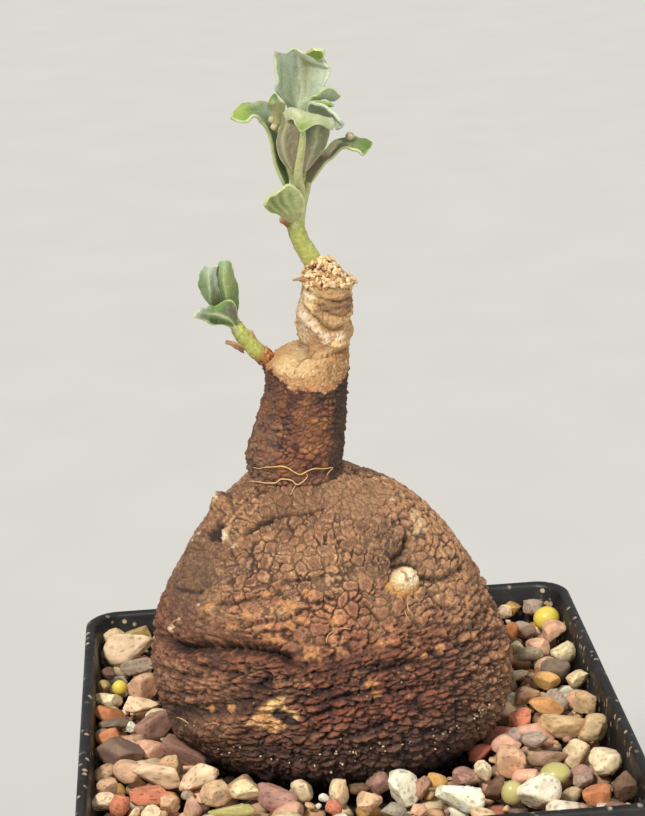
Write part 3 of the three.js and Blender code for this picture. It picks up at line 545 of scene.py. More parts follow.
# Its stretches, from below to above: lowest and highest row and how many there are. Columns are
# closer together in front by the crowding, from 0 to 1.
BODY_STRETCHES = [(64.3, 99, 10), (99.5, 108, 16), (108.3, 160.2, 222)]
BODY_COLUMNS = 400
BODY_CROWDING = 0.5

# Its marks, as angle and height
BODY_MM_PER_DEGREE = 0.61
CALLUS = (304, 143.1)
CALLUS_SKIRT = (302.5, 142.3)
# The line beside the callus along which a groove is cut and a painted shadow laid
CALLUS_SHADOW_LINE = [(301, 145.6), (306, 145.5), (310, 144.9), (313, 143.6)]
SCAR = [
    (253, 125.8), (252.4, 123.8), (257.5, 122.3), (254.5, 120), (248, 118), (243, 119), (239.4, 119.3),
    (243, 121.7), (247.5, 124.4),
]
SCAR_HOLE = [
    (247, 122.4), (249.5, 122.9), (252, 121.9), (254.8, 121.8), (255.6, 120.1), (253, 119.1),
    (251, 119.5), (249.6, 120.7), (247.6, 120.9),
]
RIGHT_SCAR = [(326, 148.9), (331, 150), (338, 151.2), (346, 150.6), (341, 149.2), (336, 147.9), (329, 148.2)]
CAVITY = [(189, 148.1), (194, 150.2), (201, 150.6), (204, 149.6), (207, 148.9), (201, 148.1), (195, 147.4)]
CHIP = [(202.5, 150.2), (205.5, 150.4), (209.5, 149.6), (208.5, 148.7), (205, 149)]
HOLE = [(221, 151.6), (224.5, 152.3), (228.5, 153.1), (235, 154)]
BEADED_RIDGE = [(205, 131.4), (213, 132.9), (221, 134.3), (232, 135.4), (240, 136.1), (248, 135.9)]
BEAD_DEGREES = 2.95
CREASE = [
    (207, 129.2), (214, 130.6), (220, 131.6), (227, 132.4), (235, 133), (241, 133.1), (247, 133),
    (252, 132),
]

# Places where the cork has flaked off down to the tan or pale layer, with their reach
TAN_PATCHES = [
    [(236.5, 139), 1], [(253, 141.1), 1.5], [(262, 143.4), 1.1], [(218, 138.2), 1.1], [(242.5, 142.8), 0.7],
    [(270, 138.5), 0.9], [(254, 138), 1], [(249, 135.5), 1.2], [(262, 133.3), 1.5], [(259, 138.7), 1],
    [(231, 136.4), 0.9], [(246, 137.6), 0.8], [(280, 127), 1], [(282, 124.8), 0.9], [(287, 133.5), 0.9],
    [(272, 133.1), 0.6], [(308, 130.1), 0.9], [(301, 129.7), 0.8], [(332, 134.1), 1.2], [(306, 119.5), 0.6],
    [(338, 122), 1.8], [(224, 119.5), 1], [(233, 121.4), 0.9],
]
PALE_SCARS = [
    [(216, 148.8), 0.55], [(180, 143.2), 0.8], [(183, 145.4), 0.8], [(184, 146.8), 0.6], [(172, 151.2), 1.1],
    [(177, 152.2), 0.9], [(340, 153.2), 0.7], [(20, 153.5), 0.8],
    [(199, 131.2), 0.8], [(204, 133.6), 0.6], [(212, 137.9), 0.5],
]


class Bark:
    """What the body's skin is like at each of its points."""

    def __init__(self, points, degrees):
        z = points[:, 2]
        self.points, self.degrees, self.z = points, degrees, z
        self.ragged = rough(points, 1.5, 1)
        self.fine = rough(points, 0.7, 2)
        self.broad = rough(points, 9, 3)
        self.patchy = rough(points, 4.5, 4)

        # The lower rows of plates rise to the right, and level out there
        from_middle = points[:, 0] + 3
        level = z - 0.16 * from_middle + 0.008 * np.maximum(from_middle - 5, 0) ** 2

        # Regions
        self.low = 1 - soft_step(z, 129 + 3 * self.broad, 140 + 3 * self.broad)
        left = between(degrees, 176, 192, 228, 248)
        self.fibrous = left * between(z, 103, 109, 125, 129)
        self.torn = 0.6 * self.ragged + 0.6 * self.fine
        self.olive = between(degrees, 160, 190, 204, 232) * between(z, 131, 137, 144, 151)
        right_top = between(degrees, 276, 304, 352, 360)
        self.dusty = soft_step(z + 1.5 * self.broad, 151.6, 155) * (0.12 + 0.88 * right_top)
        self.warm = between(degrees, 214, 240, 292, 318) * between(z, 122, 130, 141, 146)
        self.red = between(degrees, 254, 264, 296, 308) * between(z, 116, 121, 130, 138)
        self.flank = np.maximum(soft_step(degrees, 304, 326), 1 - soft_step(degrees, 110, 180))

        # Two sorts of plates: polygons above, and flatter and longer ones in rows below
        push = 0.3 * pushed(points, 2.6, 5) + 0.13 * pushed(points, 0.9, 8)
        upper = cells(points / np.array([2.5, 2.5, 2.1]) + push)
        rows = np.stack([points[:, 0] / 3.4, points[:, 1] / 3.4, level / 1.35], -1)
        lower = cells(rows + push)
        self.border, self.cell, self.above = mixed_cells(upper, lower, self.low)
        self.grain_border, self.grain_cell, _ = cells(points / 0.9 + push)
        self.fibres = rough(points, np.array([0.45, 0.45, 3]), 12)
        stretched = np.stack([points[:, 0], points[:, 1], level * 6], -1)
        self.furrow = np.exp(-((rough(stretched, 8, 13) / 0.1) ** 2))
        self.thin_furrow = np.exp(-((rough(stretched * 1.9, 8, 14) / 0.12) ** 2))

        calm = self.fibrous * 0.5 + self.olive * 0.35 + self.dusty * 0.45
        self.plated = np.clip(1 - calm, 0, 1)
        self.crack = 1 - soft_step(self.border, 0.035, 0.13 + 0.03 * self.low + 0.03 * self.ragged)
        self.crack *= 0.75 + 0.25 * soft_step(self.patchy + 0.4 * self.broad, -0.4, 0.3)
        wide = 0.1 + 0.07 * soft_step(self.broad, -0.2, 0.4)
        wide += 0.14 * self.warm * soft_step(self.patchy, 0, 0.5)
        self.bare = 1 - soft_step(self.border + 0.06 * self.fine, wide - 0.05, wide + 0.07)

        # Marks
        self.scar = within(degrees, z, SCAR, self.ragged)
        self.scar_hole = within(degrees, z, SCAR_HOLE, 1.3 * self.ragged)
        self.right_scar = within(degrees, z, RIGHT_SCAR, self.ragged)
        self.cavity = within(degrees, z, CAVITY, 0.6 * self.ragged)
        self.chip = within(degrees, z, CHIP, 0.4 * self.ragged)
        squashed = np.array([1, 1, 1.6])
        self.from_callus = np.linalg.norm((points - on_skin(CALLUS)) * squashed, axis=1)
        self.from_skirt = np.linalg.norm((points - on_skin(CALLUS_SKIRT)) * squashed, axis=1)
        self.callus = 1 - soft_step(self.from_callus + 0.35 * self.ragged, 3.1, 3.6)
        moved = wobbly(points, 0.28, self.ragged)
        self.hole = swell(distance_to(moved, route_points(HOLE)), 0.85, 1)
        # A groove beside the callus, which also carries a painted shadow
        self.shade = swell(distance_to(moved, route_points(CALLUS_SHADOW_LINE)), 0.6, 1)
        self.fold_relief, self.grooves = folded(moved, FOLDS)
        self.ridge = swell(distance_to(points, route_points(BEADED_RIDGE)), 1.3, 1)
        self.crease = swell(distance_to(moved, route_points(CREASE)), 0.6, 1)

    def relief(self):
        """How far the skin stands out, in millimetres."""
        dome = domed(self.border, 0.42)
        flat = 0.65 - 0.2 * self.low
        plate = flat * soft_step(self.border, 0.02, 0.13) + (1 - flat) * dome
        height = (0.34 + 0.3 * self.low) * (0.6 + 0.8 * self.cell) + self.above * (0.16 + 0.22 * self.low)
        relief = (height * plate - 0.36 * self.crack) * self.plated
        relief += 0.14 * soft_step(self.grain_border, 0, 0.25) + 0.13 * self.fine
        relief += 0.09 * rough(self.points, 0.4, 15)
        relief += 0.35 * self.broad + 0.2 * self.patchy * (1 - self.dusty)
        relief -= (0.7 * self.furrow + 0.4 * self.thin_furrow) * self.low * (1 - 0.4 * self.fibrous)
        relief += 0.16 * self.fibres * self.fibrous
        relief += self.fold_relief - 0.8 * self.crease
        beads = np.cos(self.degrees / BEAD_DEGREES * 2 * np.pi + 2 * self.patchy)
        relief += self.ridge * (0.8 + 0.45 * beads)
        relief += knobbed(self.points, KNOBS)
        relief -= 0.45 * self.scar + 0.15 * self.scar_hole + 0.25 * self.right_scar
        relief += 0.5 * self.chip - self.cavity * (1 - self.chip) - 1.4 * self.hole - 0.7 * self.shade
        bulge = np.sqrt(np.clip(1 - (self.from_callus / 3.6) ** 2, 0, 1))
        relief += self.callus * (1.5 * bulge - 0.3 * dome) + 0.2 * (1 - soft_step(self.from_skirt, 3, 4.4))
        relief *= soft_step(self.z, 96, 103)
        return relief - 1.4 * soft_step(self.z, 158.8, 160.2)

    def colours(self):
        """The body's paint, from its plates up to its marks."""
        paint = Paint(len(self.z), (166, 117, 84))
        self.paint_plates(paint)
        self.paint_cover(paint)
        self.paint_marks(paint)
        return paint.colours

    def paint_plates(self, paint):
        """Dark-hearted plates, and the tan or orange ground that shows between them."""
        low, plated, warm = self.low, self.plated, self.warm
        paint.lay((162, 102, 72), low)
        paint.lay((192, 141, 103), soft_step(self.cell, 0.45, 0.95) * (1 - low) * 0.6)
        core = soft_step(self.border + 0.1 * self.ragged + 0.06 * self.fine, 0.16, 0.34)
        paint.lay((106, 75, 57), core * (1 - low) * (0.6 + 0.5 * self.patchy))
        paint.lay((72, 50, 44), core * low * (0.4 + 0.5 * self.patchy))
        dark_right = between(self.degrees, 284, 304, 336, 352) * between(self.z, 140, 145, 151, 153)
        paint.lay((104, 76, 60), dark_right * 0.5)
        paint.lay((58, 42, 38), core * dark_right * 0.85)
        paint.lay((166, 112, 86), soft_step(self.cell, 0.5, 0.95) * low * 0.7)
        paint.lay((104, 76, 66), soft_step(-self.cell, -0.32, -0.05) * (1 - low) * 0.8)
        paint.lay((70, 50, 45), soft_step(-self.cell, -0.34, -0.05) * low * 0.85)
        paint.lay((138, 76, 54), warm * (0.35 + 0.4 * self.patchy))
        paint.lay((140, 70, 48), self.red * (0.45 + 0.5 * self.broad))
        paint.lay((204, 150, 108), self.flank * 0.75)
        near_neck = soft_step(self.z, 152.5, 155.5) * (1 - self.dusty)
        paint.lay((118, 80, 58), near_neck * 0.7)
        paint.lay((226, 177, 127), self.bare * plated * (1 - low) * 0.75)
        paint.lay((150, 100, 70), self.bare * plated * low * 0.4)
        orange = warm * soft_step(self.patchy + 0.3 * self.broad, -0.15, 0.3)
        paint.lay((174, 108, 74), self.bare * plated * orange * 0.75)
        paint.lay((206, 150, 104), self.bare * orange * soft_step(self.patchy, 0.2, 0.5) * 0.7)

    def paint_cover(self, paint):
        """Fibres, dust, flecks, a darker foot that is partly painted shade, with a painted shadow near black
        at its bottom, the cracks and furrows through them, and painted shade in the grooves and the crease.
        """
        strands = np.clip(self.fibrous + 0.5 * self.olive, 0, 1)
        paint.lay((200, 140, 100), self.fibrous * 0.75)
        paint.lay((96, 72, 54), self.olive * 0.6)
        paint.lay((176, 138, 102), strands * soft_step(self.fibres, 0.05, 0.45) * 0.6)
        paint.lay((78, 54, 42), strands * soft_step(-self.fibres, 0.05, 0.45) * 0.6)
        paint.lay((168, 129, 94), self.dusty * (0.7 + 0.3 * self.ragged))
        pale_fleck = soft_step(self.grain_cell, 0.86, 0.95) * soft_step(self.grain_border, 0.1, 0.3)
        paint.lay((176, 134, 104), pale_fleck * 0.6)
        dark_fleck = soft_step(-self.grain_cell, -0.16, -0.06) * soft_step(self.grain_border, 0.05, 0.25)
        paint.lay((84, 58, 48), dark_fleck * 0.6)
        # Darker towards the foot, partly painted shade, and near black at the bottom as a painted shadow
        # where the body meets the gravel
        foot = (1 - soft_step(self.z + self.broad, 112, 121)) * (1 - 0.65 * self.flank)
        paint.lay((62, 44, 36), foot * 0.7)
        paint.lay((34, 25, 21), (1 - soft_step(self.z + self.broad, 105, 111)) * 0.9)
        paint.lay((52, 31, 23), self.crack * self.plated * 0.95)
        furrows = np.maximum(self.furrow, 0.7 * self.thin_furrow) * self.low
        paint.lay((42, 27, 22), furrows * 0.85)
        # Painted shade: near black in the grooves of the folds and along the crease
        paint.lay((26, 17, 13), np.maximum(self.grooves * 0.85, self.crease * 0.95))

    def paint_marks(self, paint):
        """Bare patches, scars, holes and the callus, with painted shade in the cavity and the hole and a
        painted shadow beside the callus.
        """
        lay_dabs(paint, self.points, TAN_PATCHES, self.torn, (212, 152, 98), 0.85)
        lay_dabs(paint, self.points, PALE_SCARS, self.torn, (238, 216, 172), 1)
        paint.lay((222, 172, 114), self.scar)
        upper_right = np.clip(soft_step(self.z, 121, 123) + soft_step(self.degrees, 252, 254), 0, 1)
        paint.lay((240, 208, 152), self.scar * upper_right * soft_step(self.fine, -0.3, 0.2))
        paint.lay((170, 112, 62), self.scar * soft_step(self.ragged, 0.2, 0.5) * 0.6)
        paint.lay((58, 40, 34), self.scar_hole)
        paint.lay((218, 184, 136), self.right_scar * (0.75 + 0.5 * self.fine))
        # Painted shade: the cavity dark brown where it is not chipped
        paint.lay((58, 40, 31), self.cavity * (1 - self.chip))
        paint.lay((232, 214, 176), self.chip)
        # Painted shade: the hole near black
        paint.lay((26, 18, 14), self.hole)
        skirt = 1 - soft_step(self.from_skirt + 0.8 * self.ragged, 3.2, 4.4)
        paint.lay((206, 154, 92), skirt * 0.9)
        paint.lay((250, 230, 190), self.callus)
        callus_rim = soft_step(self.from_callus + 0.9 * self.ragged, 1.6, 2.9)
        paint.lay((222, 176, 112), self.callus * callus_rim * 0.7)
        paint.lay((150, 84, 54), self.callus * soft_step(self.ragged + self.fine, 0.55, 0.8) * 0.8)
        # Painted shadow in the groove beside the callus
        paint.lay((38, 22, 18), self.shade)


def make_body(material):
    """The swollen body: plates above, wrinkled and fibrous skin below, with its folds and scars."""
    grids = [skin_grid(*stretch, BODY_COLUMNS, BODY_CROWDING) for stretch in BODY_STRETCHES]
    places, angles = (np.concatenate(grid) for grid in zip(*grids))
    points, outward, degrees = lay_of_the_land(places, angles)
    bark = Bark(points, degrees)
    shaped = (points + outward * bark.relief()[:, None]).reshape(*places.shape, 3)
    add_bark("caudex_body", shaped, bark.colours(), (46, 33, 28), material)


# The neck, the collar and the cut stub

# Lowest and highest row, and how many rows and columns there are
TRUNK_STRETCH = (153.6, 202.1, 250, 290)
TRUNK_CROWDING = 0.25

# Where the scales of the neck end and the collar starts: angle and height
COLLAR_EDGE = [
    (0, 181.8), (60, 181.3), (120, 181.6), (180, 183), (216, 182.3), (229, 180.3), (242, 179.4), (269, 179.1),
    (292, 178), (318, 178.8), (335, 180.1), (346, 181.8), (360, 181.8),
]

# Spots of bare ochre on the neck and of white on the stub, with their reach
OCHRE_SPOTS = [
    [(297, 171.6), 1.3], [(318, 166.4), 1.4], [(290, 166.8), 1.1], [(276, 167), 0.9], [(283, 172.4), 0.8],
    [(262, 176.4), 0.8], [(240, 169.8), 0.7], [(250, 163.4), 0.9],
]
STUB_WHITES = [
    [(238, 191.3), 1], [(264, 189), 0.9], [(322, 190.6), 0.9], [(220, 196.7), 1], [(266, 187.8), 0.8],
    [(214, 192.5), 0.9], [(250, 190.2), 0.8], [(300, 188.4), 0.9], [(212, 198.4), 0.7],
]

# The curved mark of an old shoot beside the stub's foot
RING_MARK = [(253, 185.8), (251.5, 184.9), (248, 184.3), (243.5, 184.5)]


class TrunkSkin:
    """What the skin of the neck, the collar and the stub is like at each of its points."""

    def __init__(self, points, degrees):
        z = points[:, 2]
        self.points, self.degrees, self.z = points, degrees, z
        self.ragged = rough(points, 1.2, 21)
        self.broad = rough(points, 4, 22)
        self.fine = rough(points, 0.45, 23)
        self.torn = 0.6 * self.ragged + 0.6 * self.fine
        self.fibres = rough(points, np.array([1.5, 1.5, 0.45]), 24)

        # Regions
        self.edge = np.interp(degrees, *zip(*COLLAR_EDGE)) + 1.1 * self.ragged + 0.6 * self.fine
        self.collar = soft_step(z, self.edge - 0.35, self.edge + 0.5)
        self.stub = soft_step(z, 185, 186.2)
        self.neck = 1 - self.collar
        self.bare_collar = self.collar * (1 - self.stub)
        left = between(degrees, 176, 196, 232, 246)
        self.knobbly = left * (1 - soft_step(z, 171, 174))
        self.granular = between(degrees, 150, 190, 222, 236) * soft_step(z, 172, 174)
        self.band = between(z, 192.6 + 0.4 * self.ragged, 194, 195, 196.2) * soft_step(degrees, 232, 262)

        # Scales: low and wide rows above, rounder plates below, and grains at the top left
        push = 0.22 * pushed(points, 1.6, 25)
        upper = cells(points / np.array([1.55, 1.55, 0.8]) + push)
        lower = cells(points / np.array([1.6, 1.6, 1.1]) + push)
        lower_share = 1 - soft_step(z + self.ragged, 167, 171)
        border, self.cell, self.above = mixed_cells(upper, lower, lower_share)
        grain_border, self.grain_cell, _ = cells(points / 0.72 + push)
        self.border = border + (grain_border - border) * self.granular
        self.crack = 1 - soft_step(self.border, 0.02, 0.13 + 0.04 * self.ragged)
        self.warts = soft_step(grain_border, 0, 0.35)

        # Marks
        self.fold_relief, self.grooves = folded(wobbly(points, 0.2, self.ragged), STUB_FOLDS)
        self.ring_mark = swell(distance_to(points, route_points(RING_MARK)), 0.22, 1)

    def relief(self):
        """How far the skin stands out, in millimetres."""
        fine, broad = self.fine, self.broad
        dome = domed(self.border, 0.4)
        scales = 0.4 * dome * (0.6 + 0.7 * self.cell) + 0.4 * self.above * dome + 0.16 * fine
        grains = 0.22 * self.warts * (0.3 + self.grain_cell) + 0.25 * broad + 0.14 * fine
        wrinkles = 0.1 * self.warts * self.grain_cell + 0.2 * fine + 0.18 * self.fibres + 0.18 * broad
        relief = self.neck * scales + self.bare_collar * grains + self.stub * wrinkles
        relief += 0.25 * self.band * self.fibres - 0.2 * self.ring_mark
        relief += self.fold_relief + knobbed(self.points, NECK_KNOBS)
        relief *= 0.2 + 0.8 * soft_step(-self.z, -202.3, -201.8)
        return relief - 4 * (1 - soft_step(self.z, 157, 159.8))

    def colours(self):
        """The neck's, the collar's and the stub's paint."""
        paint = Paint(len(self.z), (104, 63, 47))
        self.paint_neck(paint)
        self.paint_collar(paint)
        self.paint_stub(paint)
        return paint.colours

    def paint_neck(self, paint):
        """Dark scales in rows, knobbly and paler at the left, and shaded at the right."""
        z, degrees, ragged = self.z, self.degrees, self.ragged
        paint.lay((134, 84, 60), soft_step(self.cell, 0.45, 0.95) * 0.9)
        paint.lay((64, 44, 38), soft_step(-self.cell, -0.34, -0.05) * 0.85)
        middle = between(degrees, 244, 258, 296, 312)
        paint.lay((142, 88, 64), middle * soft_step(self.broad + ragged, 0, 0.6) * 0.5)
        paint.lay((132, 98, 78), (1 - soft_step(z + ragged, 158.5, 162)) * 0.8)
        paint.lay((106, 80, 64), np.maximum(self.knobbly, 0.7 * self.granular) * 0.6)
        ground = (1 - soft_step(self.border, 0.12, 0.3)) * soft_step(rough(self.points, 3, 28), -0.3, 0.3)
        paint.lay((162, 108, 68), ground * 0.65)
        lay_dabs(paint, self.points, OCHRE_SPOTS, self.torn, (192, 132, 72), 0.55)
        paint.lay((60, 48, 40), between(degrees, 302, 316, 344, 356) * self.neck * 0.75)
        below_collar = self.neck * soft_step(z, self.edge - 3.4, self.edge - 1.2)
        paint.lay((44, 30, 26), below_collar * soft_step(ragged, -0.5, 0.2) * 0.6)
        paint.lay((34, 21, 17), self.crack * (0.45 + 0.55 * soft_step(self.broad, -0.4, 0.3)))
        pale_edges = soft_step(np.cos(z * 2.6 + 3 * ragged), 0.3, 0.9)
        paint.lay((142, 112, 86), self.knobbly * pale_edges * 0.6)

    def paint_collar(self, paint):
        """Cream, with a painted highlight on its upper front, brown freckles, an orange fringe and a greyer
        hollow at the ring mark.
        """
        z, degrees, ragged, fine, collar = self.z, self.degrees, self.ragged, self.fine, self.collar
        paint.lay((190, 148, 98), collar)
        # Painted highlight: paler cream on the collar's upper front
        painted_highlight = between(degrees, 206, 226, 262, 290) * soft_step(z, 181, 182.5)
        paint.lay((221, 187, 136), collar * painted_highlight * (0.7 + 0.5 * self.broad))
        paint.lay((178, 124, 76), collar * (1 - soft_step(z, self.edge + 0.2, self.edge + 1.4)) * 0.7)
        fringe = between(degrees, 258, 270, 306, 322) * (1 - soft_step(z, 179.5, 181.5))
        paint.lay((212, 146, 86), collar * fringe * soft_step(fine, -0.3, 0.2) * 0.6)
        at_right = soft_step(degrees, 270, 300)
        worn = self.bare_collar * soft_step(ragged + self.broad + at_right, -0.4, 0.6)
        freckles = soft_step(self.grain_cell, 0.6, 0.85) * soft_step(fine, -0.1, 0.2)
        paint.lay((134, 92, 60), worn * freckles * 0.75)
        paint.lay((162, 116, 74), worn * soft_step(fine, 0.1, 0.4) * 0.6)
        paint.lay((240, 214, 168), self.bare_collar * soft_step(-fine, 0.2, 0.5) * 0.5)
        hollow = between(degrees, 214, 228, 248, 258) * soft_step(z, 184.2, 185)
        paint.lay((176, 150, 110), collar * hollow * 0.7)
        rough_right = soft_step(degrees, 284, 306) * self.bare_collar
        paint.lay((150, 106, 70), rough_right * soft_step(ragged + 0.4 * fine, -0.2, 0.3) * 0.75)

    def paint_stub(self, paint):
        """Pale folds, a brown band, whitish patches, dark slits that are partly painted shade, and the torn
        cut end.
        """
        z, degrees, fine, fibres, stub = self.z, self.degrees, self.fine, self.fibres, self.stub
        paint.lay((195, 157, 108), stub)
        paint.lay((208, 186, 154), stub * between(degrees, 180, 196, 226, 246) * 0.7)
        paint.lay((240, 208, 150), stub * soft_step(self.broad + 0.4 * self.ragged, 0.05, 0.5) * 0.7)
        paint.lay((150, 108, 70), stub * soft_step(fibres + 0.4 * fine, 0.1, 0.5) * 0.65)
        paint.lay((112, 78, 50), stub * soft_step(fine, 0.25, 0.5) * 0.5)
        under = stub * (1 - soft_step(z, 187.4, 190)) * between(degrees, 214, 234, 262, 282)
        paint.lay((160, 116, 78), under * 0.75)
        paint.lay((128, 94, 68), self.band * (0.7 + 0.4 * fibres))
        paint.lay((76, 52, 38), self.band * soft_step(-fibres, 0.1, 0.4) * 0.8)
        paint.lay((182, 138, 90), stub * soft_step(z, 196.5, 198) * (0.4 + 0.5 * self.ragged))
        lay_dabs(paint, self.points, STUB_WHITES, self.torn, (240, 226, 200), 0.55)
        # The grooves of the stub and the collar darkened, partly brown and partly painted shade
        paint.lay((104, 70, 44), np.maximum(stub, 0.5 * self.collar) * self.grooves * 0.6)
        cut_end = soft_step(z, 198.6, 199.6)
        paint.lay((196, 154, 102), cut_end)
        paint.lay((128, 90, 54), cut_end * soft_step(fine, 0.05, 0.3) * 0.7)
        paint.lay((120, 84, 54), self.ring_mark * 0.8)


def make_trunk(material):
    """The neck with its rows of scales, the granular collar and the wrinkled cut stub."""
    places, angles = skin_grid(*TRUNK_STRETCH, TRUNK_CROWDING)
    points, outward, degrees = lay_of_the_land(places, angles)
    bark = TrunkSkin(points, degrees)
    shaped = (points + outward * bark.relief()[:, None]).reshape(*places.shape, 3)
    add_bark("caudex_trunk", shaped, bark.colours(), (196, 154, 102), material)


# The torn crown of the stub: the point that its curls face away from, the number of curls all over
# it, its two lobes' middle, spread and curls, and the curls' colours
CROWN_HEART = (0, 2.6, 197.5)
CROWN_CURLS = 250
LOBES = [[(-0.9, 1.4, 202), (3, 2.8, 1.5), 80], [(4, 1.2, 201), (1.5, 2.2, 1.3), 40]]
CURL_COLOURS = [(244, 222, 178), (232, 200, 150), (222, 184, 130), (196, 150, 98), (240, 210, 160)]

# Chips round the side shoot's root: their middle, number and colours, the near black painted shadow of those
# below it, and the way the shoot leaves
SOCKET = (-13.1, 2.8, 184.1)
SOCKET_AXIS = (-0.8, -0.05, 0.6)
SOCKET_CHIPS = 34
GOLDEN_TURN = 2.4
SOCKET_COLOURS = [(186, 112, 54), (196, 140, 84), (216, 176, 120), (128, 72, 36)]
SOCKET_SHADOW_COLOUR = (44, 27, 20)

# Dry spurs of the stub and beside the side shoot: points, radii, sides, steps and colour
SPURS = [
    [[[-3.6, 0.6, 199.3], [-5.2, 0.2, 199.9], [-6.8, -0.2, 199.9]], [0.6, 0.42, 0.15],
     10, 14, (170, 130, 88)],
    [[[-8, 1.6, 183.6], [-8.4, 1.2, 184.8], [-8.2, 1, 185.6]], [0.4, 0.28, 0.1],
     8, 10, (214, 168, 110)],
]


def facing(shape, outward, middle, draw):
    """A shape at a middle with its third axis outward, turned at random round that axis."""
    across = unit(np.cross(outward, draw.normal(size=3)))
    return shape @ np.stack([across, np.cross(outward, across), outward]) + middle


def chip(ball, middle, size, outward, colour, draw):
    """A thin bent chip of bark that faces outward."""
    directions, faces = ball
    shape = directions * np.array(size) / 2
    shape[:, 2] += draw.uniform(-0.5, 0.5) * shape[:, 0] ** 2 + draw.uniform(-0.4, 0.4) * shape[:, 1] ** 2
    torn = 1 + 0.3 * rough(directions + draw.uniform(-50, 50, 3), 0.6)
    points = facing(shape * torn[:, None], outward, middle, draw)
    tint = np.array(colour) * draw.uniform(0.9, 1.04)
    paint = Paint(len(points), tint)
    paint.lay(tint * 0.66, soft_step(rough(points, 0.5, 31), 0, 0.5) * 0.6)
    return points, faces, paint.colours


def curl(ball, middle, size, outward, colour, draw):
    """A short bent ridge of torn bark that lies on the skin."""
    directions, faces = ball
    shape = directions * np.array(size) / 2
    shape[:, 1] += draw.uniform(-0.7, 0.7) * shape[:, 0] ** 2
    points = facing(shape, outward, middle, draw)
    tint = np.array(colour) * draw.uniform(0.9, 1.04)
    paint = Paint(len(points), tint)
    paint.lay(tint * (0.76, 0.68, 0.58), 1 - soft_step(directions[:, 2], -0.4, 0.3))
    return points, faces, paint.colours


def make_crown(material):
    """Torn curls on the stub's cut end, chips round the side shoot's root, and two spurs."""
    draw = np.random.default_rng(7)
    ball = sphere(3)
    parts = []
    places = [on_skin((draw.uniform(0, 360), draw.uniform(198.4, 202.3))) for _ in range(CROWN_CURLS)]
    for middle, spread, count in LOBES:
        for _ in range(count):
            direction = unit(draw.normal(size=3))
            direction[2] = abs(direction[2])
            places.append(np.array(middle) + direction * np.array(spread) * draw.uniform(0.6, 1))
    for place in places:
        outward = unit(unit(place - np.array(CROWN_HEART)) + 0.3 * draw.normal(size=3))
        size = (draw.uniform(1.1, 1.8), draw.uniform(0.6, 0.95), draw.uniform(0.5, 0.8))
        colour = CURL_COLOURS[draw.integers(len(CURL_COLOURS))]
        parts.append(curl(ball, sloped(place) + 0.2 * outward, size, outward, colour, draw))
    axis = unit(np.array(SOCKET_AXIS))
    side = unit(np.cross(axis, (0, 1, 0)))
    for k in range(SOCKET_CHIPS):
        turn = k * GOLDEN_TURN
        ring = side * math.cos(turn) + np.cross(axis, side) * math.sin(turn)
        place = np.array(SOCKET) + ring * draw.uniform(1.4, 1.75) + axis * draw.uniform(-1.4, 0.6)
        size = (draw.uniform(0.8, 1.5), draw.uniform(0.6, 1.1), draw.uniform(0.3, 0.5))
        is_under = ring[2] < -0.35
        # Chips below the root are painted near black as a painted shadow
        colour = SOCKET_SHADOW_COLOUR if is_under else SOCKET_COLOURS[draw.integers(len(SOCKET_COLOURS))]
        parts.append(chip(ball, place, size, unit(ring + 0.4 * draw.normal(size=3)), colour, draw))
    parts += [plain_tube(*spur) for spur in SPURS]
    add_piece("caudex_crown", *join(parts), material, "bark", "caudex")


# Tubes, root threads and grit


def tube_grid(points, radii, sides, steps):
    """Rings along a smooth curve, and their outward directions. Radii are given along it as well."""
    places = np.linspace(0, len(points) - 1, steps + 1)
    middles = along(points, places)
    radius = np.interp(np.linspace(0, 1, steps + 1), np.linspace(0, 1, len(radii)), radii)
    forward = unit(np.gradient(middles, axis=0))
    side = unit(np.cross(np.array([0.0, 1.0, 0.0]), forward))
    up = np.cross(forward, side)
    turn = np.linspace(0, 2 * np.pi, sides, endpoint=False)
    ring = side[:, None] * np.cos(turn)[None, :, None] + up[:, None] * np.sin(turn)[None, :, None]
    return middles[:, None] + ring * radius[:, None, None], ring


def plain_tube(points, radii, sides, steps, colour):
    grid, _ = tube_grid(points, radii, sides, steps)
    skin_points, faces = closed_skin(grid)
    return skin_points, faces, np.tile(linear(colour), (len(skin_points), 1))


# Root threads round the neck and on the body: how thick, then angle and height along each
THREADS = [
    [0.13, [(212, 162.8), (221, 163), (235, 163.5), (248, 163.8), (258, 163.7), (265, 163.1), (274, 162.3),
            (282, 162.8), (294, 162.9), (306, 162.5), (316, 161.9), (311, 161.4), (306, 160.7)]],
    [0.14, [(200, 158.9), (212, 159.5), (224, 159.9), (242, 160.2), (250, 161), (258, 161), (264, 160.8),
            (269, 160.1), (278, 160.8), (282, 161.5), (281, 162.1)]],
    [0.08, [(267, 160.1), (262, 158.8), (258, 158.1)]],
    [0.09, [(276, 137.2), (272, 137.6), (268, 136.6), (267, 135.2)]],
    [0.08, [(298, 138.6), (298, 137.4), (299, 136.2)]],
    [0.08, [(300, 139.6), (299.6, 138.4), (300.6, 137.2)]],
    [0.13, [(210, 112.6), (212, 114), (216, 115.2), (221, 115.5)]],
    [0.11, [(207, 114.8), (212, 115.4), (217, 114.6)]],
    [0.12, [(212, 111.2), (215, 113), (222, 114.6)]],
    [0.1, [(209, 109.4), (213, 111.4), (218, 112.4)]],
    [0.1, [(222, 116.6), (227, 117.7), (231, 117.6)]],
    [0.1, [(198, 132), (202, 133.2), (206, 134.9)]],
]

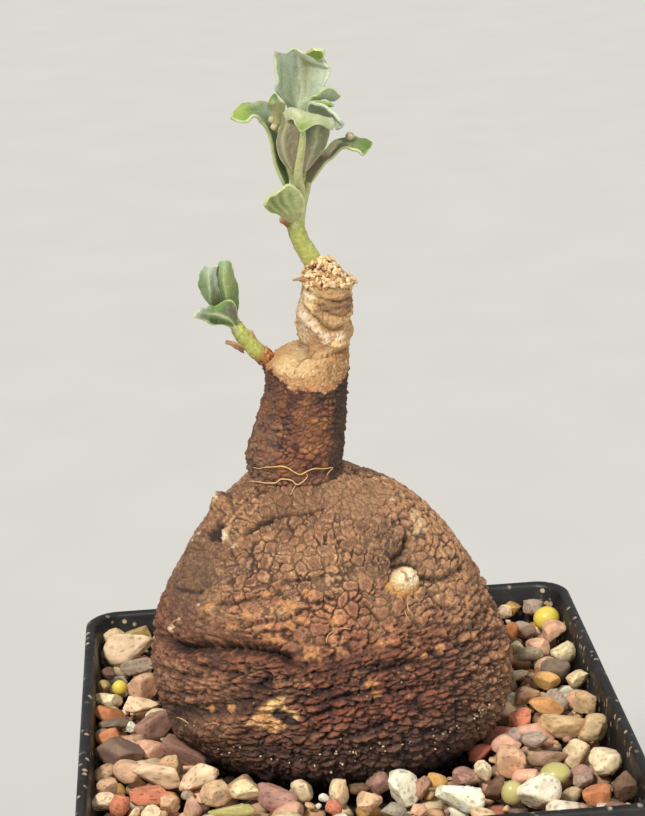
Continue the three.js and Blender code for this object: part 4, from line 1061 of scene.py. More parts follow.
# Where grit sticks to the body: angle, height, spread in degrees and in height, and number of grains
GRIT = [
    [(268, 113.8), (6, 0.4), 9], [(284, 113.6), (6, 0.3), 10], [(302, 114), (5, 0.3), 10],
    [(317, 114.6), (3, 0.6), 16], [(333, 116), (8, 2), 12], [(252, 111.6), (8, 0.6), 8],
    [(236, 111), (12, 1.2), 8], [(290, 110.8), (22, 1.2), 12], [(280, 119), (40, 5), 14],
    [(60, 112), (60, 3), 16], [(150, 112), (50, 3), 14],
]


def make_threads(material):
    """Thin dry roots that lie on the skin."""
    parts = []
    for thickness, route in THREADS:
        middles = route_points(route, 30)
        out = unit((middles - np.array([-5.0, 4, 0])) * np.array([1, 1, 0]))
        wave = np.array([noise.noise(p) for p in (middles / 2.1).tolist()])
        lifted = middles + out * (0.7 + 0.2 * wave)[:, None]
        lifted[:, 2] += 0.3 * wave
        radii = [thickness * 0.5, thickness, thickness * 0.9, thickness * 0.5]
        parts.append(plain_tube(lifted, radii, 6, 60, (226, 184, 124)))
    add_piece("caudex_threads", *join(parts), material, "bark", "caudex")


def make_grit(material):
    """White and tan mineral grains stuck to the lower skin."""
    draw = np.random.default_rng(19)
    directions, faces = sphere(2)
    parts = []
    for (degrees, z), (degree_spread, z_spread), count in GRIT:
        for _ in range(count):
            place = on_skin((degrees + draw.normal() * degree_spread, z + draw.normal() * z_spread))
            out = unit((place - np.array([-3, 4.5, place[2] - 8])))
            size = draw.uniform(0.12, 0.3, 3)
            points = directions * size + place + out * 0.28
            colour = np.array((236, 208, 176)) * draw.uniform(0.55, 1)
            parts.append((points, faces, np.tile(linear(colour), (len(points), 1))))
    add_piece("caudex_grit", *join(parts), material, "bark", "caudex")


# The gravel

# Each stone colour, and how common it is among the stones that are not listed
STONE_COLOURS = {
    "cream": [(246, 216, 174), 12], "white": [(252, 240, 212), 6], "tan": [(222, 180, 140), 10],
    "pink": [(230, 180, 148), 5], "mauve": [(174, 134, 114), 4], "slate": [(140, 118, 101), 1],
    "grey": [(180, 159, 138), 5], "brown": [(122, 90, 70), 1], "brick": [(206, 130, 100), 1],
    "rust": [(204, 132, 84), 1], "amber": [(220, 168, 102), 2], "yellow": [(240, 212, 92), 0],
    "olive": [(198, 170, 108), 1], "glass": [(206, 198, 128), 0],
}
# The colours of smooth stones, and of those that are glass beads where they are shorter than a limit
SMOOTH = ("amber", "rust", "olive", "glass", "yellow", "pink", "slate")
BEADS = ("yellow", "glass")
BEAD_LIMIT = 7

# The grid of a second layer below the shown stones, and the number of chips in the chinks
UNDER_PITCH = 5.6
CHIPPINGS = 420

# Stones that the photo shows: x, y, length, height, turn in the picture and colour
STONES = [
    [-50, 52.5, 6.8, 3.6, 0, "cream"], [-43.5, 52, 7, 4, -20, "olive"],
    [-46, 43.5, 13, 7.5, -8, "cream"], [-43.5, 34, 8.5, 4, -8, "grey"],
    [-50, 31, 3.5, 2.8, 0, "brown"], [-47.5, 23.5, 3.2, 3.2, 0, "yellow"],
    [-51, 24.5, 3, 3, 0, "olive"], [-42.5, 24, 7.5, 6.5, 0, "tan"],
    [-50, 18, 6.5, 3.8, 10, "cream"], [-43, 14.5, 8.5, 4, 8, "cream"],
    [-49, 10, 8, 5, 25, "rust"], [-48.5, 5.5, 7.5, 2.6, 5, "slate"], [-40, 4, 9, 6, 5, "mauve"],
    [-45, 4, 2.2, 2.2, 0, "white"], [-49, -0.5, 6.5, 4, -10, "rust"],
    [-47.5, -8, 10.5, 7.5, -25, "slate"], [-41, -6.5, 6.5, 4.8, 20, "pink"],
    [-34.5, -9, 10.5, 4.5, 35, "mauve"], [-45, -16.5, 5, 7, -60, "pink"],
    [-39.5, -17.5, 10.5, 5.5, 12, "cream"], [-36.5, -15, 5.5, 5.5, 0, "tan"],
    [-31.5, -21.5, 9.5, 5, -40, "cream"], [-49.5, -22.5, 4.6, 4.6, 0, "tan"],
    [-41, -26.5, 8.5, 4.6, 0, "brick"], [-50.5, -28, 3.8, 5.5, 70, "cream"],
    [-47, -30, 4.2, 4.8, 0, "brick"], [-37.5, -31, 4.5, 4, 0, "tan"], [-41, -34, 4, 2.8, 0, "cream"],
    [-33, -32.5, 3.6, 4.5, 0, "pink"], [-28, -28, 7, 5, 0, "tan"],
    [-22, -28.5, 7.5, 4.6, 10, "cream"], [-16.5, -31.5, 9, 5.5, 15, "mauve"],
    [-24.5, -35.5, 11.5, 3, 8, "glass"], [-11.5, -29, 4.4, 5.2, 0, "cream"],
    [-4.5, -31.5, 4, 6.5, 0, "cream"], [-1, -30.5, 2.4, 4.8, 80, "brown"],
    [3, -29, 5, 5.4, 0, "mauve"], [7.5, -32, 7.5, 7.2, 0, "white"], [11.5, -32, 4, 5, 0, "mauve"],
    [14.5, -30, 4.8, 3.2, 10, "amber"], [18.5, -37, 10, 6, 8, "white"], [20, -28.5, 5, 3, 0, "mauve"],
    [24, -27.5, 3.8, 4.4, 0, "cream"], [25.5, -35, 4.8, 5.4, 0, "brown"],
    [0.5, -36.5, 5.8, 4.2, 0, "tan"], [5, -40.5, 5.2, 3.2, 0, "grey"], [10, -41, 3.4, 3, 0, "pink"],
    [-6, -37.5, 3.4, 3.4, 0, "brick"], [28.5, -37, 4.4, 4.8, 0, "glass"],
    [33.5, -38, 9.5, 7, -5, "white"], [38, -30.5, 6, 3.8, 0, "glass"],
    [33, -32, 2.5, 3, 0, "cream"], [30, -24, 7.5, 6, 30, "tan"], [30.5, -17, 6.5, 4, -20, "pink"],
    [35, -6, 4.5, 5.5, 70, "brick"], [37, -15.5, 6.5, 3.6, 0, "grey"],
    [37.5, -23.5, 8.5, 4, -5, "mauve"], [43, -10.5, 11, 5, 5, "tan"],
    [49, -12.5, 7.5, 5.5, 0, "tan"], [43.5, -23, 5.5, 6, 0, "cream"],
    [48.5, -26.5, 7, 6, 0, "cream"], [42.5, -34, 3.8, 4.6, 50, "grey"],
    [44.5, -40, 6, 4.6, 0, "rust"], [50, -38.5, 5.4, 6.4, 0, "brown"],
    [41, -1.5, 8.5, 3.8, 20, "amber"], [38.5, 4.5, 6.5, 4, 0, "tan"], [44, 1.5, 5.5, 5, 20, "grey"],
    [49.5, -1, 5.4, 5, 0, "tan"], [43.5, 11, 6.5, 3.8, 20, "amber"], [46, 17, 8, 5, 25, "slate"],
    [50, 11, 3.2, 5.2, 70, "cream"], [49.5, 25, 5.6, 4.6, 0, "cream"],
    [44.5, 28.5, 6, 4, 10, "pink"], [42, 25, 6.4, 3.2, 0, "grey"], [49, 36, 6.6, 4.8, -25, "pink"],
    [49, 43.5, 6, 5.2, -10, "yellow"], [47, 49.5, 5.6, 5.6, -40, "grey"],
    [44, 37.5, 4, 3.4, 0, "slate"], [40, 38, 4, 4, 0, "rust"], [40.5, 49, 3.4, 4, 80, "cream"],
    [42, 51.5, 5, 3.4, -10, "amber"], [51, 51, 2.4, 3.4, 70, "mauve"],
    [38, 15.5, 2.2, 4, 70, "cream"], [40, 29.5, 3.2, 3, 0, "cream"],
]


def sphere(divisions):
    """Points on a unit sphere and their triangles."""
    ball = bmesh.new()
    bmesh.ops.create_icosphere(ball, subdivisions=divisions, radius=1)
    points = np.array([v.co[:] for v in ball.verts])
    faces = [[v.index for v in f.verts] for f in ball.faces]
    ball.free()
    return points, faces


def makes_draws(seed):
    """The CAD's draws from 0 to 1."""
    modulus = 2147483647
    state = seed
    while True:
        state = state * 48271 % modulus
        yield state / modulus


def filler_places():
    """Stones between the listed ones and all over the back, where the CAD has them: x, y, length, height."""
    draws = makes_draws(FILLER_SEED)
    across = STONE_MARGIN // FILLER_PITCH
    places = []
    for row in range(-across, across + 1):
        for column in range(-across, across + 1):
            x = (column + next(draws) - 0.5) * FILLER_PITCH
            y = (row + next(draws) - 0.5) * FILLER_PITCH
            length = 5.5 + 4 * next(draws) ** 2
            height = length * (0.5 + 0.2 * next(draws))
            taken = any(
                math.hypot(x - sx, y - sy) < CROWDING * (length + (sl + sh) / 2)
                for sx, sy, sl, sh, *_ in STONES
            )
            if not taken:
                places.append([x, y, length, height])
    return places


def is_bead(name, length):
    return name in BEADS and length < BEAD_LIMIT


def stone(ball, centre, size, turn, name, draw):
    """One stone: a ball with soft flat cuts and a rough skin, or a smooth bead."""
    directions, faces = ball
    smooth_bead = is_bead(name, size[0])
    shape = directions.copy()
    if not smooth_bead:
        for _ in range(draw.integers(7, 12)):
            normal = unit(draw.normal(size=3))
            cut = draw.uniform(0.5, 0.85)
            beyond = np.maximum(shape @ normal - cut, 0)
            shape = shape - normal * (beyond * 0.92)[:, None]
        shape = shape / np.abs(shape).max(0)
        coarse = 0.02 if name in SMOOTH else 0.06
        offset = draw.uniform(-50, 50, 3)
        shape = shape * (1 + coarse * rough(directions + offset, 0.28))[:, None]
        shape = shape * (1 + 0.05 * rough(directions + offset, 0.9))[:, None]
    shape = shape * np.array(size) / 2
    yaw = Matrix.Rotation(draw.uniform(-0.3, 0.3), 3, "Z")
    lean = Matrix.Rotation(math.radians(turn), 3, "Y")
    place = shape @ np.array(lean @ yaw).T + centre
    tint = np.array(STONE_COLOURS[name][0]) * draw.uniform(0.93, 1.06)
    tint = tint + draw.uniform(-5, 5, 3)
    paint = Paint(len(place), np.clip(tint, 0, 255))
    if not smooth_bead:
        mottle = rough(directions + draw.uniform(-50, 50, 3), 0.5)
        paint.lay(np.clip(tint * 0.78, 0, 255), soft_step(mottle, 0, 0.5) * 0.5)
        paint.lay(np.clip(tint * 1.12, 0, 255), soft_step(-mottle, 0, 0.5) * 0.6)
        pores = rough(directions + draw.uniform(-50, 50, 3), 0.13)
        pore_share = 0.25 if name in SMOOTH else 0.7
        paint.lay(np.clip(tint * 0.45, 0, 255), soft_step(pores, 0.3, 0.5) * pore_share)
    # Painted shadow: each stone darkened towards its bottom, where it sinks among the others
    paint.lay((52, 38, 28), (1 - soft_step(place[:, 2], 99.5, 102.5)) * 0.7)
    return place, faces, paint.colours


def on_caudex(x, y, length):
    middle_x, middle_y, radius = CAUDEX_FOOT
    return math.hypot(x - middle_x, y - middle_y) < radius + length * 0.25


def inside(value, length):
    room = STONE_MARGIN - length / 2
    return min(max(value, -room), room)


def any_colour(draw):
    """A stone colour, as common as it is in the bed."""
    shares = np.array([share for _, share in STONE_COLOURS.values()], float)
    return draw.choice(list(STONE_COLOURS), p=shares / shares.sum())


def shown_stones(draw):
    """The stones that the photo shows: rough ones and beads."""
    ball = sphere(4)
    rough_ones, beads = [], []
    for x, y, length, height, turn, colour in STONES:
        depth = min(length, height) * draw.uniform(0.85, 1.15) if length > 6 else length * 0.9
        centre = np.array([inside(x, length), inside(y, depth), STONE_LEVEL])
        made = stone(ball, centre, (length, depth, height * 1.05), turn, colour, draw)
        target = beads if is_bead(colour, length) else rough_ones
        target.append(made)
    return rough_ones, beads


def fillers(draw):
    """The stones between and behind the shown ones."""
    ball = sphere(3)
    stones = []
    for x, y, length, height in filler_places():
        if not on_caudex(x, y, length):
            level = FILLER_LEVEL + draw.uniform(-0.6, 0.4)
            centre = np.array([inside(x, length), inside(y, length), level])
            size = (length, length * draw.uniform(0.7, 0.95), height)
            colour = any_colour(draw)
            stones.append(stone(ball, centre, size, draw.uniform(-25, 25), colour, draw))
    return stones


def under_stones(draw):
    """A layer of stones below the shown ones, in a loose grid."""
    ball = sphere(2)
    places = np.arange(-48.5, 50, UNDER_PITCH)
    stones = []
    for x in places:
        for y in places:
            px, py = x + draw.uniform(-1.2, 1.2), y + draw.uniform(-1.2, 1.2)
            length = draw.uniform(4.5, 6.5)
            if not on_caudex(px, py, length):
                level = UNDER_LEVEL + draw.uniform(-0.5, 0.5)
                centre = np.array([inside(px, length), inside(py, length), level])
                size = (length, length * 0.85, length * 0.7)
                colour = any_colour(draw)
                stones.append(stone(ball, centre, size, draw.uniform(-40, 40), colour, draw))
    return stones


def chippings(draw):
    """Small chips in the chinks between the stones."""
    ball = sphere(2)
    chips = []
    for _ in range(CHIPPINGS):
        x, y = draw.uniform(-51, 51, 2)
        length = draw.uniform(1.2, 2.8)
        if not on_caudex(x, y, length):
            centre = np.array([x, y, CHIPPING_LEVEL + draw.uniform(-1, 1)])
            colour = any_colour(draw)
            size = (length, length * 0.8, length * 0.7)
            chips.append(stone(ball, centre, size, draw.uniform(-60, 60), colour, draw))
    return chips


def make_gravel(rough_stone, bead_stone):
    """The bed's loose stones. They share one row of random draws, so their order counts."""
    draw = np.random.default_rng(41)
    shown, beads = shown_stones(draw)
    between_them = fillers(draw)
    below_them = under_stones(draw) + chippings(draw)
    add_piece("gravel_top", *join(shown), rough_stone, "gravel_stone", "gravel")
    add_piece("gravel_fill", *join(between_them), rough_stone, "gravel_stone", "gravel")
    add_piece("gravel_under", *join(below_them), rough_stone, "gravel_stone", "gravel")
    add_piece("gravel_beads", *join(beads), bead_stone, "gravel_stone", "gravel")


# The leafy shoots

MAIN_STEM = [
    [-1, 3, 199], [-2, 3, 201.5], [-3.8, 2.4, 205], [-5.1, 1.6, 208], [-5.6, 1, 211], [-5, 1, 214],
    [-4.5, 1.5, 217], [-4.4, 2, 219],
]
SIDE_STEM = [
    [-9.5, 3.4, 180.8], [-11, 3.2, 182], [-13.8, 2.6, 184.6], [-16.2, 1.8, 187.6],
    [-17.6, 1.2, 189.8], [-18.2, 1.4, 191.4],
]
STEM_COLOUR = (182, 184, 92)
STEM_SHADE = (146, 162, 62)
STEM_LIGHT = (206, 204, 144)
STALK_COLOUR = (188, 190, 128)

# Each leaf has its rim's colour and where its ribs are across the blade, then for the side towards
# the camera and for the other one the main colour and soft shades on it: place along and across
# the blade, reach both ways, colour and share. The stalk's points follow, and rows of points
# across the blade from the stalk to the tip.
MAIN_LEAVES = [
    {
        "rim": (208, 218, 182), "ribs": (0.28, 0.5, 0.7),
        "facing": ((190, 200, 170), [
            # The first shade on the next line is a painted shade along the fold by the left rim
            (0.5, 0.12, 0.4, 0.04, (140, 150, 118), 0.7), (0.45, 0.3, 0.3, 0.06, (132, 134, 106), 0.6),
            (0.6, 0.66, 0.26, 0.1, (134, 126, 96), 0.75), (0.42, 0.5, 0.22, 0.018, (84, 80, 48), 0.95),
            (0.68, 0.36, 0.16, 0.07, (216, 228, 218), 0.6),
            # The near white spot on the next line, at 0.72 along and 0.85 across, is a painted highlight
            (0.84, 0.7, 0.13, 0.1, (150, 150, 102), 0.7), (0.72, 0.85, 0.05, 0.07, (236, 226, 226), 0.9),
            (0.5, 0.93, 0.2, 0.05, (204, 216, 208), 0.7), (0.85, 0.28, 0.12, 0.2, (210, 220, 204), 0.6),
        ]),
        "other": ((126, 152, 92), []),
        "stalk": [[-4.5, 2, 216.5], [-4.5, 4.5, 222], [-4, 6.5, 228]],
        "net": [
            [[-5, 6, 228], [-4.5, 6.5, 228], [-4, 7, 228], [-3.5, 6.5, 228], [-3, 6, 228]],
            [[-6, 5, 233], [-5, 5.5, 232.5], [-4, 6, 232], [-3, 5.5, 232.5], [-2, 5, 233]],
            [[-8, 1, 236.5], [-6, 4.5, 235], [-3.5, 6.5, 234], [-1.5, 5, 234.5], [0, 3, 234.5]],
            [[-8, 0.5, 239], [-6, 5, 238], [-3.5, 7, 237], [-1, 5.5, 237.5], [1.5, 2, 237.5]],
            [[-8, 0.5, 241.5], [-6, 5, 240.5], [-3.5, 7, 239.5], [-0.5, 5.5, 240], [2.5, 2, 240]],
            [[-8, 0.5, 243], [-6, 4, 242.5], [-3.5, 6.5, 242], [-1.5, 5, 241.5], [2, 2, 241]],
            [[-8, 0, 244.5], [-6.5, 3, 243.5], [-4, 5.5, 244], [-2, 5, 243], [-0.5, 3, 244.5]],
        ],
    },
    {
        "rim": (218, 224, 158), "ribs": (),
        "facing": ((158, 182, 72), [(0.5, 0.5, 0.3, 0.3, (138, 168, 52), 0.6)]),
        "other": ((158, 182, 72), [(0.5, 0.5, 0.3, 0.3, (138, 168, 52), 0.6)]),
        "stalk": [],
        "net": [
            [[-2, 5, 243], [-0.5, 3.8, 242.4], [0.3, 3.5, 241.3]],
            [[-1, 2, 244], [0.5, 1.5, 243], [1, 2, 242]],
            [[-0.5, 1, 244.5], [1, 0, 244], [1.5, 0.5, 243]],
        ],
    },
    {
        "rim": (206, 212, 152), "ribs": (),
        "facing": ((100, 132, 62), [
            # On the next line: painted shade on the blade's inner face, then a painted highlight along its
            # lit left rim
            (0.28, 0.62, 0.32, 0.34, (32, 58, 16), 0.97), (0.2, 0, 0.5, 0.12, (196, 198, 140), 0.85),
            (0.66, 0.9, 0.17, 0.5, (172, 184, 156), 0.95), (1, 0.4, 0.2, 0.6, (166, 190, 78), 0.9),
            (0.8, 0.8, 0.14, 0.2, (192, 206, 150), 0.5),
        ]),
        "other": ((150, 164, 128), []),
        "stalk": [[-5.5, 1.2, 212.5], [-6.5, 1.2, 215.5], [-7, 1, 218.5]],
        "net": [
            [[-7.5, 0, 218.5], [-7, 1, 218], [-6.5, 2, 218]],
            [[-9, -0.5, 222.5], [-8, 1.5, 222], [-6.5, 3, 221.5]],
            [[-9.5, -1, 226], [-8.5, 2, 225.5], [-7, 4, 225]],
            [[-10, -1.5, 229], [-9, 2, 228.5], [-7.5, 4.5, 228.5]],
            [[-11, -2.5, 231], [-10, 1.5, 231.5], [-9, 4, 232]],
            [[-12.5, -4, 233], [-12, 0.5, 233], [-10, 3, 234.5]],
            [[-15, -5, 232], [-14, -1.5, 234], [-12.5, 1.5, 234.5]],
            [[-17, -5.5, 233.5], [-16.5, -2, 233.5], [-15, 0, 235]],
        ],
    },
    {
        "rim": (216, 220, 162), "ribs": (0.2, 0.78),
        "facing": ((138, 130, 94), [
            (0.34, 0.8, 0.36, 0.24, (116, 124, 80), 0.9), (0.4, 0.2, 0.2, 0.05, (164, 168, 116), 0.6),
            (0.35, 0.32, 0.25, 0.06, (112, 92, 76), 0.6), (0.45, 0.63, 0.1, 0.06, (40, 82, 28), 0.97),
            (0.1, 0.7, 0.14, 0.2, (158, 136, 122), 0.6), (0.58, 0.5, 0.08, 0.5, (120, 124, 92), 0.5),
        ]),
        "other": ((192, 200, 148), [
            (0.95, 0.52, 0.12, 0.13, (122, 156, 52), 0.9), (0.76, 0.25, 0.1, 0.2, (214, 212, 184), 0.7),
        ]),
        "stalk": [
            [-4.8, 1.2, 210.5], [-4.5, -2, 217.5], [-5, -5, 221.5], [-4.5, -7, 225.5], [-4, -8.5, 229],
            [-4, -9, 231],
        ],
        "net": [
            [[-6, -4, 222], [-5.5, -5, 222], [-4.5, -5, 222], [-4, -5, 222], [-3.5, -4, 222]],
            [[-8, -3.5, 224.5], [-6.5, -5.5, 225], [-5, -6.5, 225], [-3, -5.5, 225], [-1, -3.5, 224.5]],
            [[-8.5, -3, 227.5], [-7, -6, 228.5], [-4.5, -7.5, 228.5], [-2, -6, 228], [1, -3, 227]],
            [[-7.5, -3.5, 231], [-6, -6.5, 232], [-4, -8.5, 232], [-1.5, -7, 231], [1.5, -3.5, 229.5]],
            [[-7, -4, 233], [-6, -7, 234.5], [-3.5, -8.5, 234], [-1, -7.5, 233], [2, -4, 231.5]],
            [[-7, -6.5, 233], [-5.5, -9.5, 234.5], [-4, -11, 233.5], [-1.5, -10, 233], [2, -6, 231]],
            [[-6.5, -7, 232.5], [-5.5, -10, 233], [-4.5, -11.5, 231], [-1.5, -10.5, 232], [2, -6.5, 230]],
        ],
    },
    {
        "rim": (200, 208, 140), "ribs": (0.18, 0.4, 0.62, 0.82),
        "facing": ((172, 178, 122), [
            (0.75, 0.3, 0.36, 0.07, (84, 128, 30), 0.95), (0.72, 0.51, 0.32, 0.06, (92, 136, 38), 0.9),
            (0.6, 0.1, 0.3, 0.07, (110, 150, 56), 0.8), (0.7, 0.72, 0.3, 0.06, (130, 150, 76), 0.8),
        ]),
        "other": ((164, 176, 136), []),
        "stalk": [[-5.5, 1, 208.8], [-5.8, -0.2, 210.6], [-5.9, -1.2, 212.4]],
        "net": [
            [[-7, -1, 212], [-6.6, -1.2, 212], [-6, -1.4, 212], [-5.4, -1.3, 212], [-4.8, -1, 212]],
            [[-9, -2.2, 213.6], [-8.2, -2.8, 214], [-7, -3, 214.4], [-5.6, -2.8, 214.2], [-4.2, -2.6, 213.8]],
            [[-11, -4, 214.8], [-10, -4.5, 216], [-8.6, -4.6, 216.8], [-6.4, -4.2, 217], [-3.8, -3.8, 216]],
            [[-12, -6, 216.5], [-11, -6.5, 218], [-9, -6, 219], [-6.8, -5.2, 220], [-4.8, -4.6, 218.4]],
        ],
    },
    {
        "rim": (206, 214, 150), "ribs": (),
        "facing": ((144, 132, 106), [
            (0.45, 0.1, 0.35, 0.14, (104, 132, 60), 0.8), (0.92, 0.5, 0.34, 0.9, (88, 128, 22), 0.97),
            (0.3, 0.6, 0.2, 0.2, (122, 100, 86), 0.6),
        ]),
        "other": ((150, 158, 120), []),
        "stalk": [[-4.8, 1, 212.5], [-3.6, 1, 216], [-2.6, 0.6, 219]],
        "net": [
            [[-3.5, 1, 218], [-2.5, 0.5, 218.5], [-2, 0, 219]],
            [[-2.5, 1.5, 220.5], [-2, 0, 221], [-1, -1, 220.5]],
            [[-1, 2, 222.5], [-0.5, 0, 223], [0.5, -1.5, 222.5]],
            [[1, 2.5, 224.5], [1.5, 0, 224.5], [2.5, -1.5, 224]],
            [[3, 3, 226], [3.5, 0.5, 226], [4.5, -2, 225.5]],
            [[6, 3, 226.5], [6.5, 0, 226], [6.5, -2.5, 225]],
            [[8.5, 2.5, 226], [8.5, 0, 225.5], [7.5, -2.5, 224]],
            [[10, 1.5, 225.5], [9.5, 0, 225], [8.5, -1.5, 224.5]],
        ],
    },
    {
        "rim": (210, 220, 166), "ribs": (0.5,),
        "facing": ((160, 176, 140), [(0.9, 0.5, 0.2, 0.3, (186, 200, 158), 0.7)]),
        "other": ((150, 176, 110), []),
        "stalk": [[-4.4, 2, 217], [-3, 4, 223], [-1.6, 4.6, 228]],
        "net": [
            [[-2, 4, 228], [-1.5, 4.5, 228], [-1, 5, 228]],
            [[-2.5, 4, 232.5], [-1.5, 4.5, 232.5], [-1, 5, 232.5]],
            [[-1.5, 2, 234.5], [0, 4, 234], [1.5, 5.5, 234]],
            [[-0.5, 0.5, 235.5], [1.5, 3, 235], [3.5, 5, 233.5]],
            [[0, 0, 236.5], [2.5, 2.5, 236.5], [4.5, 4.5, 234.5]],
        ],
    },
    {
        "rim": (168, 194, 92), "ribs": (),
        "facing": ((156, 176, 118), [(1, 0.5, 0.2, 0.7, (150, 184, 80), 0.8)]),
        "other": ((150, 176, 110), []),
        "stalk": [[-4.4, 2, 218], [-3.4, 2.4, 224], [-2.2, 2.6, 229]],
        "net": [
            [[-2.5, 2, 228.5], [-2, 2.5, 228.5], [-1.5, 3, 228.5]],
            [[-3, 2, 232], [-2, 2.5, 232], [-1, 3, 232]],
            [[-2, 0.5, 234], [0, 2, 233.5], [1.5, 3, 232.5]],
            [[-1, -0.5, 234.5], [1, 1, 234], [3, 2.5, 233]],
        ],
    },
    {
        "rim": (214, 222, 196), "ribs": (0.5,),
        "facing": ((190, 202, 182), [
            (0.35, 0.4, 0.25, 0.4, (164, 178, 142), 0.5), (0.55, 0.15, 0.07, 0.12, (240, 240, 232), 0.9),
        ]),
        "other": ((160, 178, 140), []),
        "stalk": [[-4.4, 1.6, 216], [-3.2, 1.6, 222], [-2, 0.8, 228.5]],
        "net": [
            [[-2.5, 0, 228.5], [-2, 1, 228.5], [-1.5, 1.5, 228.5]],
            [[-2.5, 0, 232.5], [-2, 1, 231.5], [-1.5, 2, 231]],
            [[-2, -1.5, 234.5], [-0.5, 0, 233], [0.5, 1, 231]],
            [[0.5, -3, 234], [1.5, -1, 232.5], [1.5, 0.5, 230.5]],
            [[2.5, -4, 232.5], [3, -2.5, 231.5], [2.5, -1, 229.5]],
            [[3.5, -4.5, 231.5], [4, -3.5, 230], [3, -2, 229]],
        ],
    },
    {
        "rim": (208, 216, 142), "ribs": (),
        "facing": ((184, 184, 130), [(0.9, 0.5, 0.26, 0.6, (74, 120, 36), 0.98)]),
        "other": ((170, 180, 120), [(0.9, 0.5, 0.26, 0.6, (84, 128, 44), 0.9)]),
        "stalk": [[-5, 1.2, 218], [-6.8, 0.4, 225], [-8, -1.5, 231.5]],
        "net": [
            [[-8.5, -1, 230.5], [-8, -1.5, 230.5], [-7.5, -1, 230.5]],
            [[-9.5, -2, 234.5], [-8.5, -3, 234], [-6.5, -1.5, 234.5]],
            [[-10, -3.5, 235.5], [-9, -4.5, 235.5], [-7.5, -3, 235.5]],
            [[-9, -3.5, 236.5], [-8.5, -2.5, 237], [-8, -3, 236.5]],
        ],
    },
    # A leaf deep in the crown, dark green all over as painted shade
    {
        "rim": (120, 140, 80), "ribs": (),
        "facing": ((54, 80, 34), []),
        "other": ((60, 86, 40), []),
        "stalk": [[-4.8, 1.4, 214], [-3.6, 2.4, 217.5], [-3, 3, 219]],
        "net": [
            [[-3.8, 2.6, 218], [-3, 3.2, 218], [-2.2, 3, 218]],
            [[-3.5, 3.4, 221], [-2.5, 4.4, 220.5], [-1, 3.8, 221]],
            [[-3, 4, 225], [-1.5, 5.5, 225], [0.5, 4, 225.5]],
            [[-2, 4.2, 228.5], [-0.5, 6, 229], [1, 4, 229]],
        ],
    },
]
